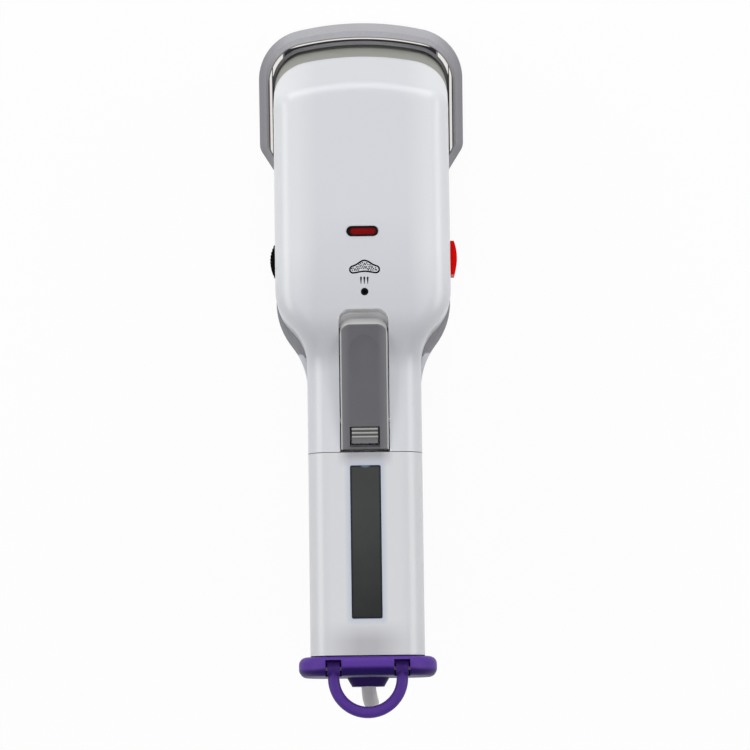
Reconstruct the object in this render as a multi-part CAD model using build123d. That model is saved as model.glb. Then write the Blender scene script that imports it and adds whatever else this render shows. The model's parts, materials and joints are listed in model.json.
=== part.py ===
from build123d import *
import os
from math import atan2, cos, degrees, pi, radians, sin, sqrt, tan

# Hand-held garment steamer, standing flat on its soleplate with the handle rising away.
# Sizes are in millimetres. The housing is drawn in the handle's own frame: X across, Y along the
# handle towards the head, Z from the soleplate side to the user's side, and Y = 0 at the seam
# between the upper handle and the water tank. The plate group is drawn in the plate's frame: its
# Y (here called v) runs from the chin to the nose, and it is tilted by plate_tilt about X at the
# chin. At the end everything is turned so that the soleplate lies flat at Z = 0.

# ---- Housing ----
head_half = 39.5  # half width of the head
handle_half = 25.7  # half width of the handle and the tank
handle_low = 24.0  # underside of the handle
handle_depth = 44.0
head_rise = 10.0  # how far the head stands above the handle on the user's side
split_level = 46.0  # the joint plane between the front and rear shells
wall = 2.4
seat_gap = 0.3  # between pieces of different bodies
edge_round = 10.0  # rounding of the long edges
neck_start, neck_end = 40.5, 73.0  # the rear shell widens between these
flare_start, flare_end = 30.0, 70.0  # the front shell widens between these
rise_start, rise_end = 34.0, 68.0  # the rear face climbs from handle to head
plateau_end = 161.0
roll_radius, roll_angle = 9.0, 57.0
nose_y = 183.0
crown_radius = 130.0
nose_corner = 18.0
beam_end = 56.0

# ---- Plate group, in the plate's frame ----
plate_tilt = 12.0
chin_y = 94.0
bezel_half, bezel_top = 47.2, 112.1
bezel_height = 9.4
bezel_lift = 0.5  # the soleplate stands this proud of the bezel
bezel_rounds = (12.0, 7.0, 23.0)  # at the chin, the shoulders and the nose
bezel_slope = (3.4, 4.4)  # the bevel, across and down
chin_half = 13.0
shoulder_v = 54.5  # where the plate starts to narrow to its chin
ledge_height = 3.2
soleplate_inset, soleplate_thickness = 2.6, 1.8
trim_half, trim_top = 42.3, 105.6
trim_width, trim_proud = 1.5, 0.8
trim_groove, trim_groove_depth = 0.45, 1.2  # a shadow line round the trim
trim_rounds = (9.0, 6.0, 18.5)
collar_half, collar_top = 39.9, 102.3
collar_chin = 6.0
collar_rounds = (8.0, 6.0, 16.0)
bezel_ledge = 14.0  # the bezel's foot is this wide under the collar
grip_start, grip_end, grip_height = 45.0, 69.0, 6.0
grip_rim, grip_tuck, ledge_drop = 0.5, 2.2, 3.0  # white rim outside a grip; tucked under the rear shell
skirt_y, skirt_run, skirt_rise = 72.0, 36.0, 30.0  # where the skirt's seam starts, and its slope

# ---- Boiler ----
boiler_inset, boiler_height = 16.0, 13.0
flange_width, chamber_depth = 7.0, 4.0
cover_thickness, gasket_thickness = 2.2, 1.2
heater_radius, heater_bend, heater_leg = 3.0, 14.0, 20.5
boiler_low_v = 35.5  # where the heater's cold ends leave the block
boiler_screw_vs = (60.0, 86.0)
inlet_v, inlet_height = 70.0, 5.0
thermostat_v, fuse_v = 48.0, 32.0
steam_hole_radius, steam_hole_pitch = 1.6, 12.0

# ---- Trigger ----
lever_half = 10.7
lever_start, lever_end = 0.8, 59.2
lever_lift = 0.9  # above the handle at its lower end
lever_slope = 6.4  # degrees the lever climbs towards its free end
lever_skirt, lever_wall = 7.0, 2.0
lever_corner, lever_nose_bevel = 5.5, 2.6
well_half, well_end = 11.2, 63.4
well_lip = 1.5  # the well's own wall
pivot_y, pivot_drop, pivot_radius = 14.5, 6.5, 1.5
pivot_play = 0.05
dish_y, dish_length, dish_width, dish_depth = 41.6, 21.0, 15.0, 1.2
lock_y, lock_length, lock_half = 6.6, 7.2, 5.85
lock_window_half, lock_window_length = 6.75, 9.1
lock_sink = 0.4
lock_ridge, lock_ridge_pitch = 0.55, 1.75

# ---- Pump under the trigger ----
pump_y = 40.0
pump_radius, pump_height = 7.0, 21.0
plunger_radius, plunger_head, plunger_head_thickness = 2.2, 5.6, 1.4
spring_wire = 0.5

# ---- Tank ----
tank_length = 91.0
tank_wall = 2.0
window_half, window_start, window_end = 6.9, 6.1, 74.8
saddle_thickness = 2.0
valve_y, valve_radius, valve_reach = 14.0, 4.6, 6.0
socket_radius, socket_bore, socket_low = 7.4, 5.8, 33.0
filler_y = -45.0

# ---- End flange, gland and loop ----
flange_half, flange_thickness, flange_proud = 31.0, 8.8, 2.4
flange_corner, flange_round = 16.0, 3.4
loop_radius, loop_tube, loop_reach, loop_eye = 15.35, 2.6, 20.0, 3.0
loop_pin_y, loop_pin_drop, loop_pin_radius = 5.0, 7.6, 1.2
slot_half = 3.6
gland_half, gland_tip_half, gland_length, gland_level = 9.6, 7.3, 4.0, 34.0
gland_height, gland_barrel, barrel_level = 15.0, 6.6, 36.5
gland_tilt = 38.0  # the cord leaves this far below the handle's line

# ---- Side controls and lamp ----
control_level = 56.0
rocker_y, rocker_length, rocker_height = 88.0, 15.4, 12.0
rocker_proud, rocker_sagitta, rocker_gap, rocker_pivot = 3.1, 1.3, 0.7, 4.2
rocker_back = 33.3
dial_y, dial_radius, dial_thickness, dial_proud = 87.8, 15.0, 7.0, 2.4
dial_teeth, dial_tooth = 60, 0.2
spindle_radius, spindle_play = 2.0, 0.04
lamp_y, lamp_length, lamp_width, lamp_proud = 98.4, 14.1, 4.5, 0.5

# ---- Cord, in the standing frame, before it is centred ----
cord_diameter = 6.6
hank_start, hank_end = -152.0, -30.0
hank_half, hank_turns, hank_layers = 24.1, 2, 3  # two cords wide, three high
tie_y, tie_width, tie_thickness = -58.0, 12.0, 1.0
plug_y, plug_length, plug_half, plug_height = -141.0, 38.0, 13.0, 18.0
plug_turn = 12.0  # degrees the plug lies across the hank
relief_length = 20.0
blade_length, blade_width, blade_thickness, blade_pitch = 17.5, 6.3, 1.5, 12.7

handle_top = handle_low + handle_depth
head_top = handle_top + head_rise
tank_base = split_level
flange_y = -tank_length - 0.4  # the flange's inner face
flange_end = flange_y - flange_thickness
flange_top = handle_top + flange_proud
flange_low = handle_low - flange_proud
loop_y, loop_z = flange_y - loop_pin_y, flange_top - loop_pin_drop
plate = Pos(0, chin_y, 0) * Rot(plate_tilt, 0, 0)
pieces = {}


# ---- Outlines ----


def crown_sag(half):
    """Drop of the crown arc at this half width."""
    return crown_radius - sqrt(crown_radius**2 - half**2)


def closed(right):
    """Face from the right half of an outline and its mirror image."""
    return make_face(right + [mirror(edge, about=Plane.YZ) for edge in right])


def crown(half, top):
    """Right half of the arched top edge."""
    return ThreePointArc((half, top - crown_sag(half)), (half / 2, top - crown_sag(half / 2)), (0, top))


def corners_at(face, level):
    return [v for v in face.vertices() if abs(v.Y - level) < 0.01 and abs(v.X) > 0.01]


def neck_outline(inset, start, end, low_y):
    """Plan of a shell: handle width, an S from start to end, straight flanks and an arched nose."""
    head, grip = head_half - inset, handle_half - inset
    top = nose_y - inset
    corner_y = top - crown_sag(head)
    middle = ((head + grip) / 2, (start + end) / 2)
    right = [
        Line((0, low_y), (grip, low_y)),
        Line((grip, low_y), (grip, start)),
        TangentArc((grip, start), middle, tangent=(0, 1)),
        TangentArc((head, end), middle, tangent=(0, -1)),
        Line((head, end), (head, corner_y)),
        crown(head, top),
    ]
    face = closed(right)
    return fillet(corners_at(face, corner_y), nose_corner - inset)


def shield(half, top, shoulder, low_half, low, rounds):
    """Plan of a plate: arched nose, straight sides to the shoulder, then a taper to the chin."""
    corner_v = top - crown_sag(half)
    right = [
        Line((0, low), (low_half, low)),
        Line((low_half, low), (half, shoulder)),
        Line((half, shoulder), (half, corner_v)),
        crown(half, top),
    ]
    face = closed(right)
    for level, radius in zip((low, shoulder, corner_v), rounds):
        face = fillet(corners_at(face, level), radius)
    return face


def bezel_outline(inset):
    return offset(shield(bezel_half, bezel_top, shoulder_v, chin_half, 0, bezel_rounds), -inset)


def ring_outline(half, top, rounds, inset=0.0):
    """Outline of the trim and of the collar inside it: the bezel's shape, set in."""
    chin = collar_chin + collar_half - half
    face = shield(half, top, shoulder_v, chin_half - 1.5, chin, rounds)
    return offset(face, -inset) if inset else face


def collar_outline(inset):
    rounds = [r - inset for r in collar_rounds]
    return shield(collar_half - inset, collar_top - inset, shoulder_v,
                  chin_half - 1.5 - inset / 2, collar_chin + inset, rounds)


def at_plate(height, face):
    return plate * (Pos(0, 0, height) * face)


def slab(face, low, high):
    """A flat piece of the plate group between two heights above the table plane."""
    return plate * extrude(Pos(0, 0, low) * face, high - low)


# ---- Housing shells ----


def rear_side(low_y):
    """Side view of the rear half: handle, climb and plateau."""
    middle = ((rise_start + rise_end) / 2, (handle_top + head_top) / 2)
    past = nose_y + 1
    edges = [
        Line((low_y, split_level), (low_y, handle_top)),
        Line((low_y, handle_top), (rise_start, handle_top)),
        TangentArc((rise_start, handle_top), middle, tangent=(1, 0)),
        TangentArc((rise_end, head_top), middle, tangent=(-1, 0)),
        Line((rise_end, head_top), (past, head_top)),
        Line((past, head_top), (past, split_level)),
        Line((past, split_level), (low_y, split_level)),
    ]
    return Plane.YZ * make_face(edges)


def nose_roll():
    """What is turned away above the nose: a roll and a slope that follow the crown's arc."""
    slope = radians(roll_angle)
    roll_y = plateau_end + roll_radius * sin(slope)
    roll_z = head_top - roll_radius * (1 - cos(slope))
    past = nose_y + 6
    rim_z = roll_z - (past - roll_y) * tan(slope)
    centre_y = nose_y - crown_radius
    profile = [
        TangentArc((plateau_end - centre_y, head_top), (roll_y - centre_y, roll_z), tangent=(1, 0)),
        Line((roll_y - centre_y, roll_z), (past - centre_y, rim_z)),
        Line((past - centre_y, rim_z), (past - centre_y, head_top + 9)),
        Line((past - centre_y, head_top + 9), (plateau_end - centre_y, head_top + 9)),
        Line((plateau_end - centre_y, head_top + 9), (plateau_end - centre_y, head_top)),
    ]
    ring = revolve(Plane.XZ * make_face(profile), axis=Axis.Z, revolution_arc=120)
    return Pos(0, centre_y, 0) * Rot(0, 0, 30) * ring


def rim_edges(solid):
    """The edges where the top surfaces meet the side walls."""
    found = []
    for edge in solid.edges():
        box = edge.bounding_box()
        inside = box.min.X < 0 < box.max.X and box.min.Z > handle_top
        if box.size.Y > 0.05 and box.min.Z > split_level + 1 and not inside:
            found.append(edge)
    return found


def rear_form():
    """The rear half of the upper handle and the head, before it is hollowed."""
    plan = Pos(0, 0, split_level) * neck_outline(0, neck_start, neck_end, 0)
    block = extrude(plan, head_top - split_level + 5)
    side = extrude(rear_side(0), 2 * head_half, both=True)
    solid = (block & side) - nose_roll()
    return fillet(rim_edges(solid), edge_round)


def front_form(inset):
    """The front half of the head: from the collar at the plate up to the joint plane."""
    low = at_plate(ledge_height, collar_outline(inset))
    high = Pos(0, 0, split_level) * neck_outline(inset, flare_start, flare_end, inset)
    return loft([low, high])


def beam_form(inset, low_y):
    """The front half of the handle, a channel rounded along its lower edges."""
    half, low = handle_half - inset, handle_low + inset
    beam = Pos(0, low_y, low) * Box(2 * half, beam_end - low_y, split_level - low,
                                    align=(Align.CENTER, Align.MIN, Align.MIN))
    edges = beam.edges().filter_by(Axis.Y).group_by(Axis.Z)[0]
    return fillet(edges, edge_round - inset)


def post(x, y, low, high, radius, bore):
    """A screw boss with its pilot hole."""
    boss = Pos(x, y, low) * Cylinder(radius, high - low, align=(Align.CENTER, Align.CENTER, Align.MIN))
    hole = Pos(x, y, low - 1) * Cylinder(bore, high - low + 2, align=(Align.CENTER, Align.CENTER, Align.MIN))
    return boss - hole


def upright(x, y, low, high, radius):
    return Pos(x, y, low) * Cylinder(radius, high - low, align=(Align.CENTER, Align.CENTER, Align.MIN))


def block(x0, x1, y0, y1, z0, z1):
    return Pos(x0, y0, z0) * Box(x1 - x0, y1 - y0, z1 - z0, align=(Align.MIN, Align.MIN, Align.MIN))


def along_x(x0, x1, y, z, radius):
    return Pos(x0, y, z) * Rot(0, 90, 0) * Cylinder(radius, x1 - x0, align=(Align.CENTER, Align.CENTER, Align.MIN))


screw_places = [(side * 18.5, y) for side in (-1, 1) for y in (21.0, -79.0)]
screw_radius, screw_head = 1.5, 3.0


def make_shells():
    outer = rear_form()
    open_faces = [f for f in outer.faces() if abs(f.center().Z - split_level) < 0.01 or abs(f.center().Y) < 0.01]
    rear = offset(outer, amount=-wall, openings=open_faces)
    # The end wall below the lever closes the handle towards the tank.
    end_wall = block(-handle_half + 1, handle_half - 1, 0, wall, split_level, handle_top - 9)
    rear = rear + (end_wall & outer)
    # The well that the trigger sits in, with its own floor at the free end.
    well = Pos(0, (well_end - 5) / 2, handle_top) * Box(2 * well_half, well_end + 5, 40)
    well = fillet(well.edges().filter_by(Axis.Z).group_by(Axis.Y)[-1], 5.0)
    well_wall = Pos(0, (well_end + well_lip) / 2 - 1, 0) * Box(
        2 * (well_half + well_lip), well_end + well_lip + 2, 300)
    well_wall = fillet(well_wall.edges().filter_by(Axis.Z).group_by(Axis.Y)[-1], 5.0 + well_lip)
    collar = (outer & well_wall) & block(-20, 20, rise_start, well_end + 3, handle_top - 5.2, head_top + 1)
    shelf = (outer & well_wall) & block(-20, 20, well_end - 7, well_end + 3, handle_top - 7.2, handle_top - 5.2)
    rear = rear + collar - well + shelf
    rear -= block(-6, 6, 0, wall + 1, handle_top - 14, handle_top)
    # Openings for the lamp, the rocker and the dial.
    rear -= Pos(0, lamp_y, head_top - 5) * extrude(SlotOverall(lamp_length + 0.3, lamp_width + 0.3), 10)
    rear -= block(head_half - 4, head_half + 1, rocker_y - rocker_length / 2 - rocker_gap,
                  rocker_y + rocker_length / 2 + rocker_gap, control_level - rocker_height / 2 - 0.4,
                  control_level + rocker_height / 2 + 0.4)
    rear -= Pos(dial_proud + dial_radius - head_half - dial_proud * 2, dial_y, control_level) * Cylinder(
        dial_radius + 1.0, dial_thickness + 0.8)
    for x, y in screw_places:
        if y > 0:
            rear += post(x, y, split_level, handle_top - wall + 0.5, 3.4, 1.2)
            rear -= upright(x, y, handle_top - wall + 0.4, handle_top - wall + 0.6, 1.2)
    pieces["rear_shell"] = rear

    front = front_form(0) + beam_form(0, flange_y + 0.3)
    cavity = front_form(wall) + beam_form(wall, flange_y)
    front = front - cavity
    for x, y in screw_places:
        top = split_level - (0.2 if y > 0 else saddle_thickness + seat_gap)
        front += upright(x, y, handle_low + 1, top, 3.4) & (front_form(0) + beam_form(0, flange_y + 0.3))
        front -= upright(x, y, handle_low - 1, top + 1, screw_radius + 0.15)
        front -= upright(x, y, handle_low - 1, handle_low + 4, screw_head + 0.2)
    return outer, front


rear_outer, front_shell = make_shells()
pieces["front_shell"] = front_shell


# ---- Side grips and the heat skirt ----


def flare_ring(inset, low, high):
    """What lies between the front shell's flare and the rear shell's edge, seen from the user's side."""
    outer = extrude(Pos(0, 0, low) * neck_outline(inset, flare_start, flare_end, 0), high - low)
    inner = extrude(Pos(0, 0, low) * neck_outline(grip_tuck, neck_start, neck_end, 0), high - low)
    return outer - inner


def make_grips():
    """Soft inserts set into the front shell where the neck widens, with a thin white rim outside."""
    form = front_form(0)
    top = split_level - 0.1
    ledge = flare_ring(0, split_level - ledge_drop, top) & block(-50, 50, flare_start - 2, grip_end, 0, 99)
    pieces["front_shell"] += ledge & form
    for side, name in ((-1, "side_grip_left"), (1, "side_grip_right")):
        x0, x1 = sorted((side * 20, side * 50))
        zone = block(x0, x1, grip_start, grip_end, split_level - grip_height, top)
        insert = flare_ring(grip_rim, split_level - grip_height, top) & zone & front_form(grip_rim)
        pieces[name] = insert
        pieces["front_shell"] -= insert


def split_skirt():
    """The head's front half is a separate skirt of heat-resistant plastic, parted along a slope."""
    lean = degrees(atan2(skirt_run, skirt_rise))
    zone = Pos(0, skirt_y, split_level) * Rot(lean, 0, 0) * Box(
        120, 160, 400, align=(Align.CENTER, Align.MIN, Align.CENTER))
    shell = pieces["front_shell"]
    pieces["front_shell"] = shell - zone
    pieces["head_skirt"] = shell & zone


# ---- Soleplate, bezel and trim ----


def make_plate():
    outline = bezel_outline(0)
    across, down = bezel_slope
    body = slab(outline, bezel_lift, bezel_height - down)
    bevel = extrude(Pos(0, 0, bezel_height - down) * outline, down, taper=degrees(atan2(across, down)))
    bezel = body + plate * bevel
    bezel -= slab(ring_outline(trim_half, trim_top, trim_rounds), ledge_height, bezel_height + 5)
    bezel -= slab(ring_outline(trim_half, trim_top, trim_rounds, -trim_groove),
                  bezel_height - trim_groove_depth, bezel_height + 5)
    bezel -= slab(bezel_outline(bezel_ledge), 0, ledge_height + 1)
    bezel -= slab(bezel_outline(soleplate_inset), 0, soleplate_thickness)
    pieces["soleplate_bezel"] = bezel - front_form(0)

    trim_outer = ring_outline(trim_half, trim_top, trim_rounds)
    trim_inner = ring_outline(trim_half, trim_top, trim_rounds, trim_width)
    trim = slab(trim_outer, ledge_height, bezel_height + trim_proud)
    pieces["chrome_trim"] = trim - slab(trim_inner, 0, bezel_height + 5) - front_form(0)

    holes = []
    for row, (v, count) in enumerate(((94, 4), (80, 5), (66, 4), (52, 5), (38, 4), (24, 3))):
        for i in range(count):
            x = (i - (count - 1) / 2) * steam_hole_pitch
            holes.append(Pos(x, v) * Circle(steam_hole_radius))
    plate_face = bezel_outline(soleplate_inset)
    for hole in holes:
        plate_face -= hole
    pieces["soleplate"] = slab(plate_face, 0, soleplate_thickness)


# ---- Boiler ----


def heater_path():
    v0 = boiler_low_v
    return FilletPolyline((-heater_bend, v0, 0), (-heater_bend, v0 + heater_leg + heater_bend, 0),
                          (heater_bend, v0 + heater_leg + heater_bend, 0), (heater_bend, v0, 0),
                          radius=heater_bend - 1.0)


def tube_along(path, outer, inner=0.0):
    plane = Plane(origin=path @ 0, z_dir=path % 0)
    solid = sweep(plane * Circle(outer), path=path)
    if inner:
        solid -= sweep(plane * Circle(inner), path=path)
    return solid


def make_boiler():
    floor, top = soleplate_thickness, soleplate_thickness + boiler_height
    block_body = slab(bezel_outline(boiler_inset), floor, top)
    block_body -= slab(bezel_outline(boiler_inset + flange_width), top - chamber_depth, top + 1)
    heater = plate * (Pos(0, 0, floor + heater_radius + 1.2) * tube_along(heater_path(), heater_radius))
    pieces["heating_element"] = heater
    pieces["boiler_block"] = block_body - heater
    gasket_top = top + gasket_thickness
    ring = bezel_outline(boiler_inset + 0.5) - bezel_outline(boiler_inset + flange_width)
    pieces["boiler_gasket"] = slab(ring, top, gasket_top)
    cover_top = gasket_top + cover_thickness
    cover = slab(bezel_outline(boiler_inset), gasket_top, cover_top)
    inlet = plate * (Pos(0, inlet_v, cover_top) * Cylinder(3.0, inlet_height, align=(
        Align.CENTER, Align.CENTER, Align.MIN)))
    bore = plate * (Pos(0, inlet_v, gasket_top - 1) * Cylinder(1.6, inlet_height + 9, align=(
        Align.CENTER, Align.CENTER, Align.MIN)))
    cover = cover + inlet - bore
    screws = []
    for v in boiler_screw_vs:
        for side in (-1, 1):
            x = side * (bezel_half - boiler_inset - flange_width / 2)
            shank = Pos(x, v, top - 7) * Cylinder(1.4, cover_top - top + 7, align=(
                Align.CENTER, Align.CENTER, Align.MIN))
            head = Pos(x, v, cover_top) * Cylinder(2.7, 2.0, align=(Align.CENTER, Align.CENTER, Align.MIN))
            screws.append(plate * (shank + head))
            hole = plate * (Pos(x, v, top - 7.5) * Cylinder(1.45, cover_top - top + 9, align=(
                Align.CENTER, Align.CENTER, Align.MIN)))
            for name in ("boiler_block", "boiler_gasket"):
                pieces[name] -= hole
            cover -= hole
    pieces["boiler_cover"] = cover
    pieces["boiler_screws"] = Compound(children=screws)
    can = Pos(0, thermostat_v, cover_top) * Cylinder(7.5, 5, align=(Align.CENTER, Align.CENTER, Align.MIN))
    cap = Pos(0, thermostat_v, cover_top + 5) * Cylinder(5.5, 3, align=(Align.CENTER, Align.CENTER, Align.MIN))
    tabs = [Pos(x, thermostat_v, cover_top + 8) * Box(4.8, 0.8, 7, align=(Align.CENTER, Align.CENTER, Align.MIN))
            for x in (-3.0, 3.0)]
    pieces["thermostat"] = plate * (can + cap + tabs[0] + tabs[1])
    fuse = Pos(0, fuse_v, cover_top + 2.0) * Rot(0, 90, 0) * Cylinder(2.0, 14)
    pieces["thermal_fuse"] = plate * fuse
    strap = Pos(0, fuse_v, cover_top) * Box(5, 9, 4.8, align=(Align.CENTER, Align.CENTER, Align.MIN))
    strap -= Pos(0, fuse_v, cover_top - 0.1) * Box(6, 5.2, 4.2, align=(Align.CENTER, Align.CENTER, Align.MIN))
    pieces["fuse_clip"] = plate * strap
    return cover_top


# ---- Lamp ----


def make_lamp():
    inside = head_top - wall
    lens = Pos(0, lamp_y, inside) * extrude(SlotOverall(lamp_length, lamp_width), wall + lamp_proud)
    lens = fillet(lens.faces().sort_by(Axis.Z)[-1].edges(), lamp_proud * 0.9)
    lip = Pos(0, lamp_y, inside - 1.2) * extrude(SlotOverall(lamp_length + 3, lamp_width + 3), 1.2)
    pieces["lamp_lens"] = lens + lip
    length, width, depth = lamp_length + 6, lamp_width + 5, 9.0
    holder = Pos(0, lamp_y, inside - 1.2 - depth) * Box(length, width, depth, align=(
        Align.CENTER, Align.CENTER, Align.MIN))
    holder -= Pos(0, lamp_y, inside - depth) * Box(length - 3, width - 3, depth, align=(
        Align.CENTER, Align.CENTER, Align.MIN))
    pieces["lamp_holder"] = holder
    pieces["signal_lamp"] = Pos(0, lamp_y, inside - depth + 2.0) * Rot(0, 90, 0) * Cylinder(2.0, length - 4)


# ---- Trigger lever, its pin and its lock ----

lever_plane = Pos(0, lever_start, handle_top + lever_lift) * Rot(lever_slope, 0, 0)
lever_long = (lever_end - lever_start) / cos(radians(lever_slope))


def lever_plan(length, inset=0.0):
    """The lever seen from above, in its own plane: square at the pivot end, rounded at the free end."""
    half = lever_half - inset
    face = Pos(0, (length + inset) / 2) * Rectangle(2 * half, length - inset)
    return fillet([v for v in face.vertices() if v.Y > length / 2], lever_corner - inset)


def pivot_at():
    """Height of the pivot's axis."""
    return handle_top + lever_lift + (pivot_y - lever_start) * tan(radians(lever_slope)) - pivot_drop


def make_trigger():
    band = lever_nose_bevel
    body = extrude(Pos(0, 0, -lever_skirt) * lever_plan(lever_long), lever_skirt - band)
    body += loft([Pos(0, 0, -band) * lever_plan(lever_long), lever_plan(lever_long - band)])
    body = chamfer(body.faces().sort_by(Axis.Z)[-1].edges(), 0.45)
    hollow = Pos(0, 0, -lever_skirt - 1) * extrude(lever_plan(lever_long - lever_wall, lever_wall),
                                                 lever_skirt + 1 - lever_wall)
    body -= hollow
    # The thumb dish is a shallow barrel cut.
    across = (dish_width**2 / 4 + dish_depth**2) / (2 * dish_depth)
    along = (dish_length**2 / 4 + dish_depth**2) / (2 * dish_depth)
    reach = dish_length * 0.6
    end_r = across - (along - sqrt(along**2 - reach**2))
    barrel = revolve(Plane.XY * make_face([
        ThreePointArc((end_r, -reach), (across, 0), (end_r, reach)),
        Line((end_r, reach), (0, reach)), Line((0, reach), (0, -reach)), Line((0, -reach), (end_r, -reach)),
    ]), axis=Axis.Y)
    dish_v = (dish_y - lever_start) / cos(radians(lever_slope))
    body -= Pos(0, dish_v, across - dish_depth) * barrel
    window = Pos(0, lock_y - lever_start, -lever_wall / 2) * Box(
        2 * lock_window_half, lock_window_length, lever_wall + 1)
    body -= window
    lever = lever_plane * body
    z = pivot_at()
    for side in (-1, 1):
        x0, x1 = sorted((side * (lever_half - 0.5), side * (lever_half - 4.0)))
        lever += along_x(x0, x1, pivot_y, z, pivot_radius + 1.7)
    lever -= along_x(-lever_half - 1, lever_half + 1, pivot_y, z, pivot_radius + pivot_play)
    pieces["trigger_lever"] = lever
    # Two ears of the rear shell carry the pin.
    ears = []
    for side in (-1, 1):
        x0, x1 = sorted((side * well_half, side * (well_half + 2.6)))
        ears.append(block(x0, x1, pivot_y - 4, pivot_y + 4, z - 4, handle_top - wall + 0.5))
    reach = well_half + 2.6
    for ear in ears:
        pieces["rear_shell"] += ear
    pin = along_x(-reach, reach, pivot_y, z, pivot_radius)
    pieces["rear_shell"] -= pin
    pieces["trigger_pin"] = pin

    cap = Pos(0, 0, -lever_wall - 0.3) * Box(2 * lock_half, lock_length, lever_wall + 0.3 - lock_sink, align=(
        Align.CENTER, Align.CENTER, Align.MIN))
    top = -lock_sink
    for i in range(3):
        ridge_y = lock_length / 2 - lock_ridge - 0.2 - lock_ridge_pitch * i
        cap += Pos(0, ridge_y, top) * Rot(0, 90, 0) * Cylinder(lock_ridge, 2 * lock_half)
    foot = Pos(0, 0.6, -lever_wall - 1.5) * Box(2 * (lever_half - lever_wall - 0.6), lock_length - 1.6, 1.3,
                                                align=(Align.CENTER, Align.CENTER, Align.MIN))
    rest_y = lock_y - lever_start + (lock_window_length - lock_length) / 2 - 0.35
    pieces["trigger_lock"] = lever_plane * (Pos(0, rest_y, 0) * (cap + foot))


# ---- Pump, its spring and the water tubes ----


def make_pump():
    z0, z1 = handle_low + wall, handle_low + wall + pump_height
    body = upright(0, pump_y, z0, z1, pump_radius) - upright(0, pump_y, z0 + 6, z1 + 1, plunger_radius + 1.6)
    body += upright(0, pump_y, z1, z1 + 1.5, pump_radius + 1.2)
    body -= upright(0, pump_y, z1 - 2, z1 + 3, plunger_radius + 0.3)
    pieces["pump_body"] = body
    underside = handle_top + lever_lift + (pump_y - lever_start) * tan(radians(lever_slope)) - lever_wall
    head_z = underside - 0.9 - plunger_head_thickness
    plunger = upright(0, pump_y, z0 + 9, head_z, plunger_radius)
    plunger += upright(0, pump_y, head_z, head_z + plunger_head_thickness, plunger_head)
    plunger += upright(0, pump_y, z0 + 9, z0 + 12, plunger_radius + 1.3)
    body_cut = upright(0, pump_y, z0 + 5, z1 - 2, plunger_radius + 1.6)
    pieces["pump_body"] -= body_cut
    pieces["pump_plunger"] = plunger
    low = z1 + 1.5 + seat_gap + spring_wire
    high = head_z - seat_gap - spring_wire
    coils = Helix((high - low) / 5, high - low, plunger_radius + 1.3)
    wire = sweep(Plane(origin=coils @ 0, z_dir=coils % 0) * Circle(spring_wire), path=coils, is_frenet=True)
    pieces["pump_spring"] = Pos(0, pump_y, low) * wire

    # The suction tube runs from the tank's socket to the pump, and the steam feed to the boiler.
    nipple_z = handle_low + wall + 3.4
    suction = FilletPolyline((0, -valve_y + socket_radius, socket_low + 3), (0, 6, socket_low + 3),
                             (0, 20, nipple_z), (0, pump_y - pump_radius, nipple_z), radius=9)
    pieces["suction_tube"] = tube_along(suction, 2.6, 1.5)
    y_in = chin_y + inlet_v * cos(radians(plate_tilt)) - boiler_cover_top * sin(radians(plate_tilt))
    z_in = inlet_v * sin(radians(plate_tilt)) + boiler_cover_top * cos(radians(plate_tilt))
    up = (-sin(radians(plate_tilt)), cos(radians(plate_tilt)))
    stub = inlet_height - 0.5
    end = (0, y_in + up[0] * stub, z_in + up[1] * stub)
    knee = (0, end[1] + up[0] * 13, end[2] + up[1] * 13)
    feed = FilletPolyline((0, pump_y + pump_radius, nipple_z + 2), (0, pump_y + 17, nipple_z + 2),
                          (0, 84, knee[2] - 1.5), knee, end, radius=8)
    pieces["feed_tube"] = tube_along(feed, 2.6, 1.5) - plate * (
        Pos(0, inlet_v, boiler_cover_top) * Cylinder(3.0, 2 * inlet_height))


# ---- Tank ----


def tank_block(inset, low_y, high_y, base):
    half = handle_half - inset
    body = Pos(0, low_y, base) * Box(2 * half, high_y - low_y, handle_top - inset - base, align=(
        Align.CENTER, Align.MIN, Align.MIN))
    return fillet(body.edges().filter_by(Axis.Y).group_by(Axis.Z)[-1], edge_round - inset)


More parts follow.
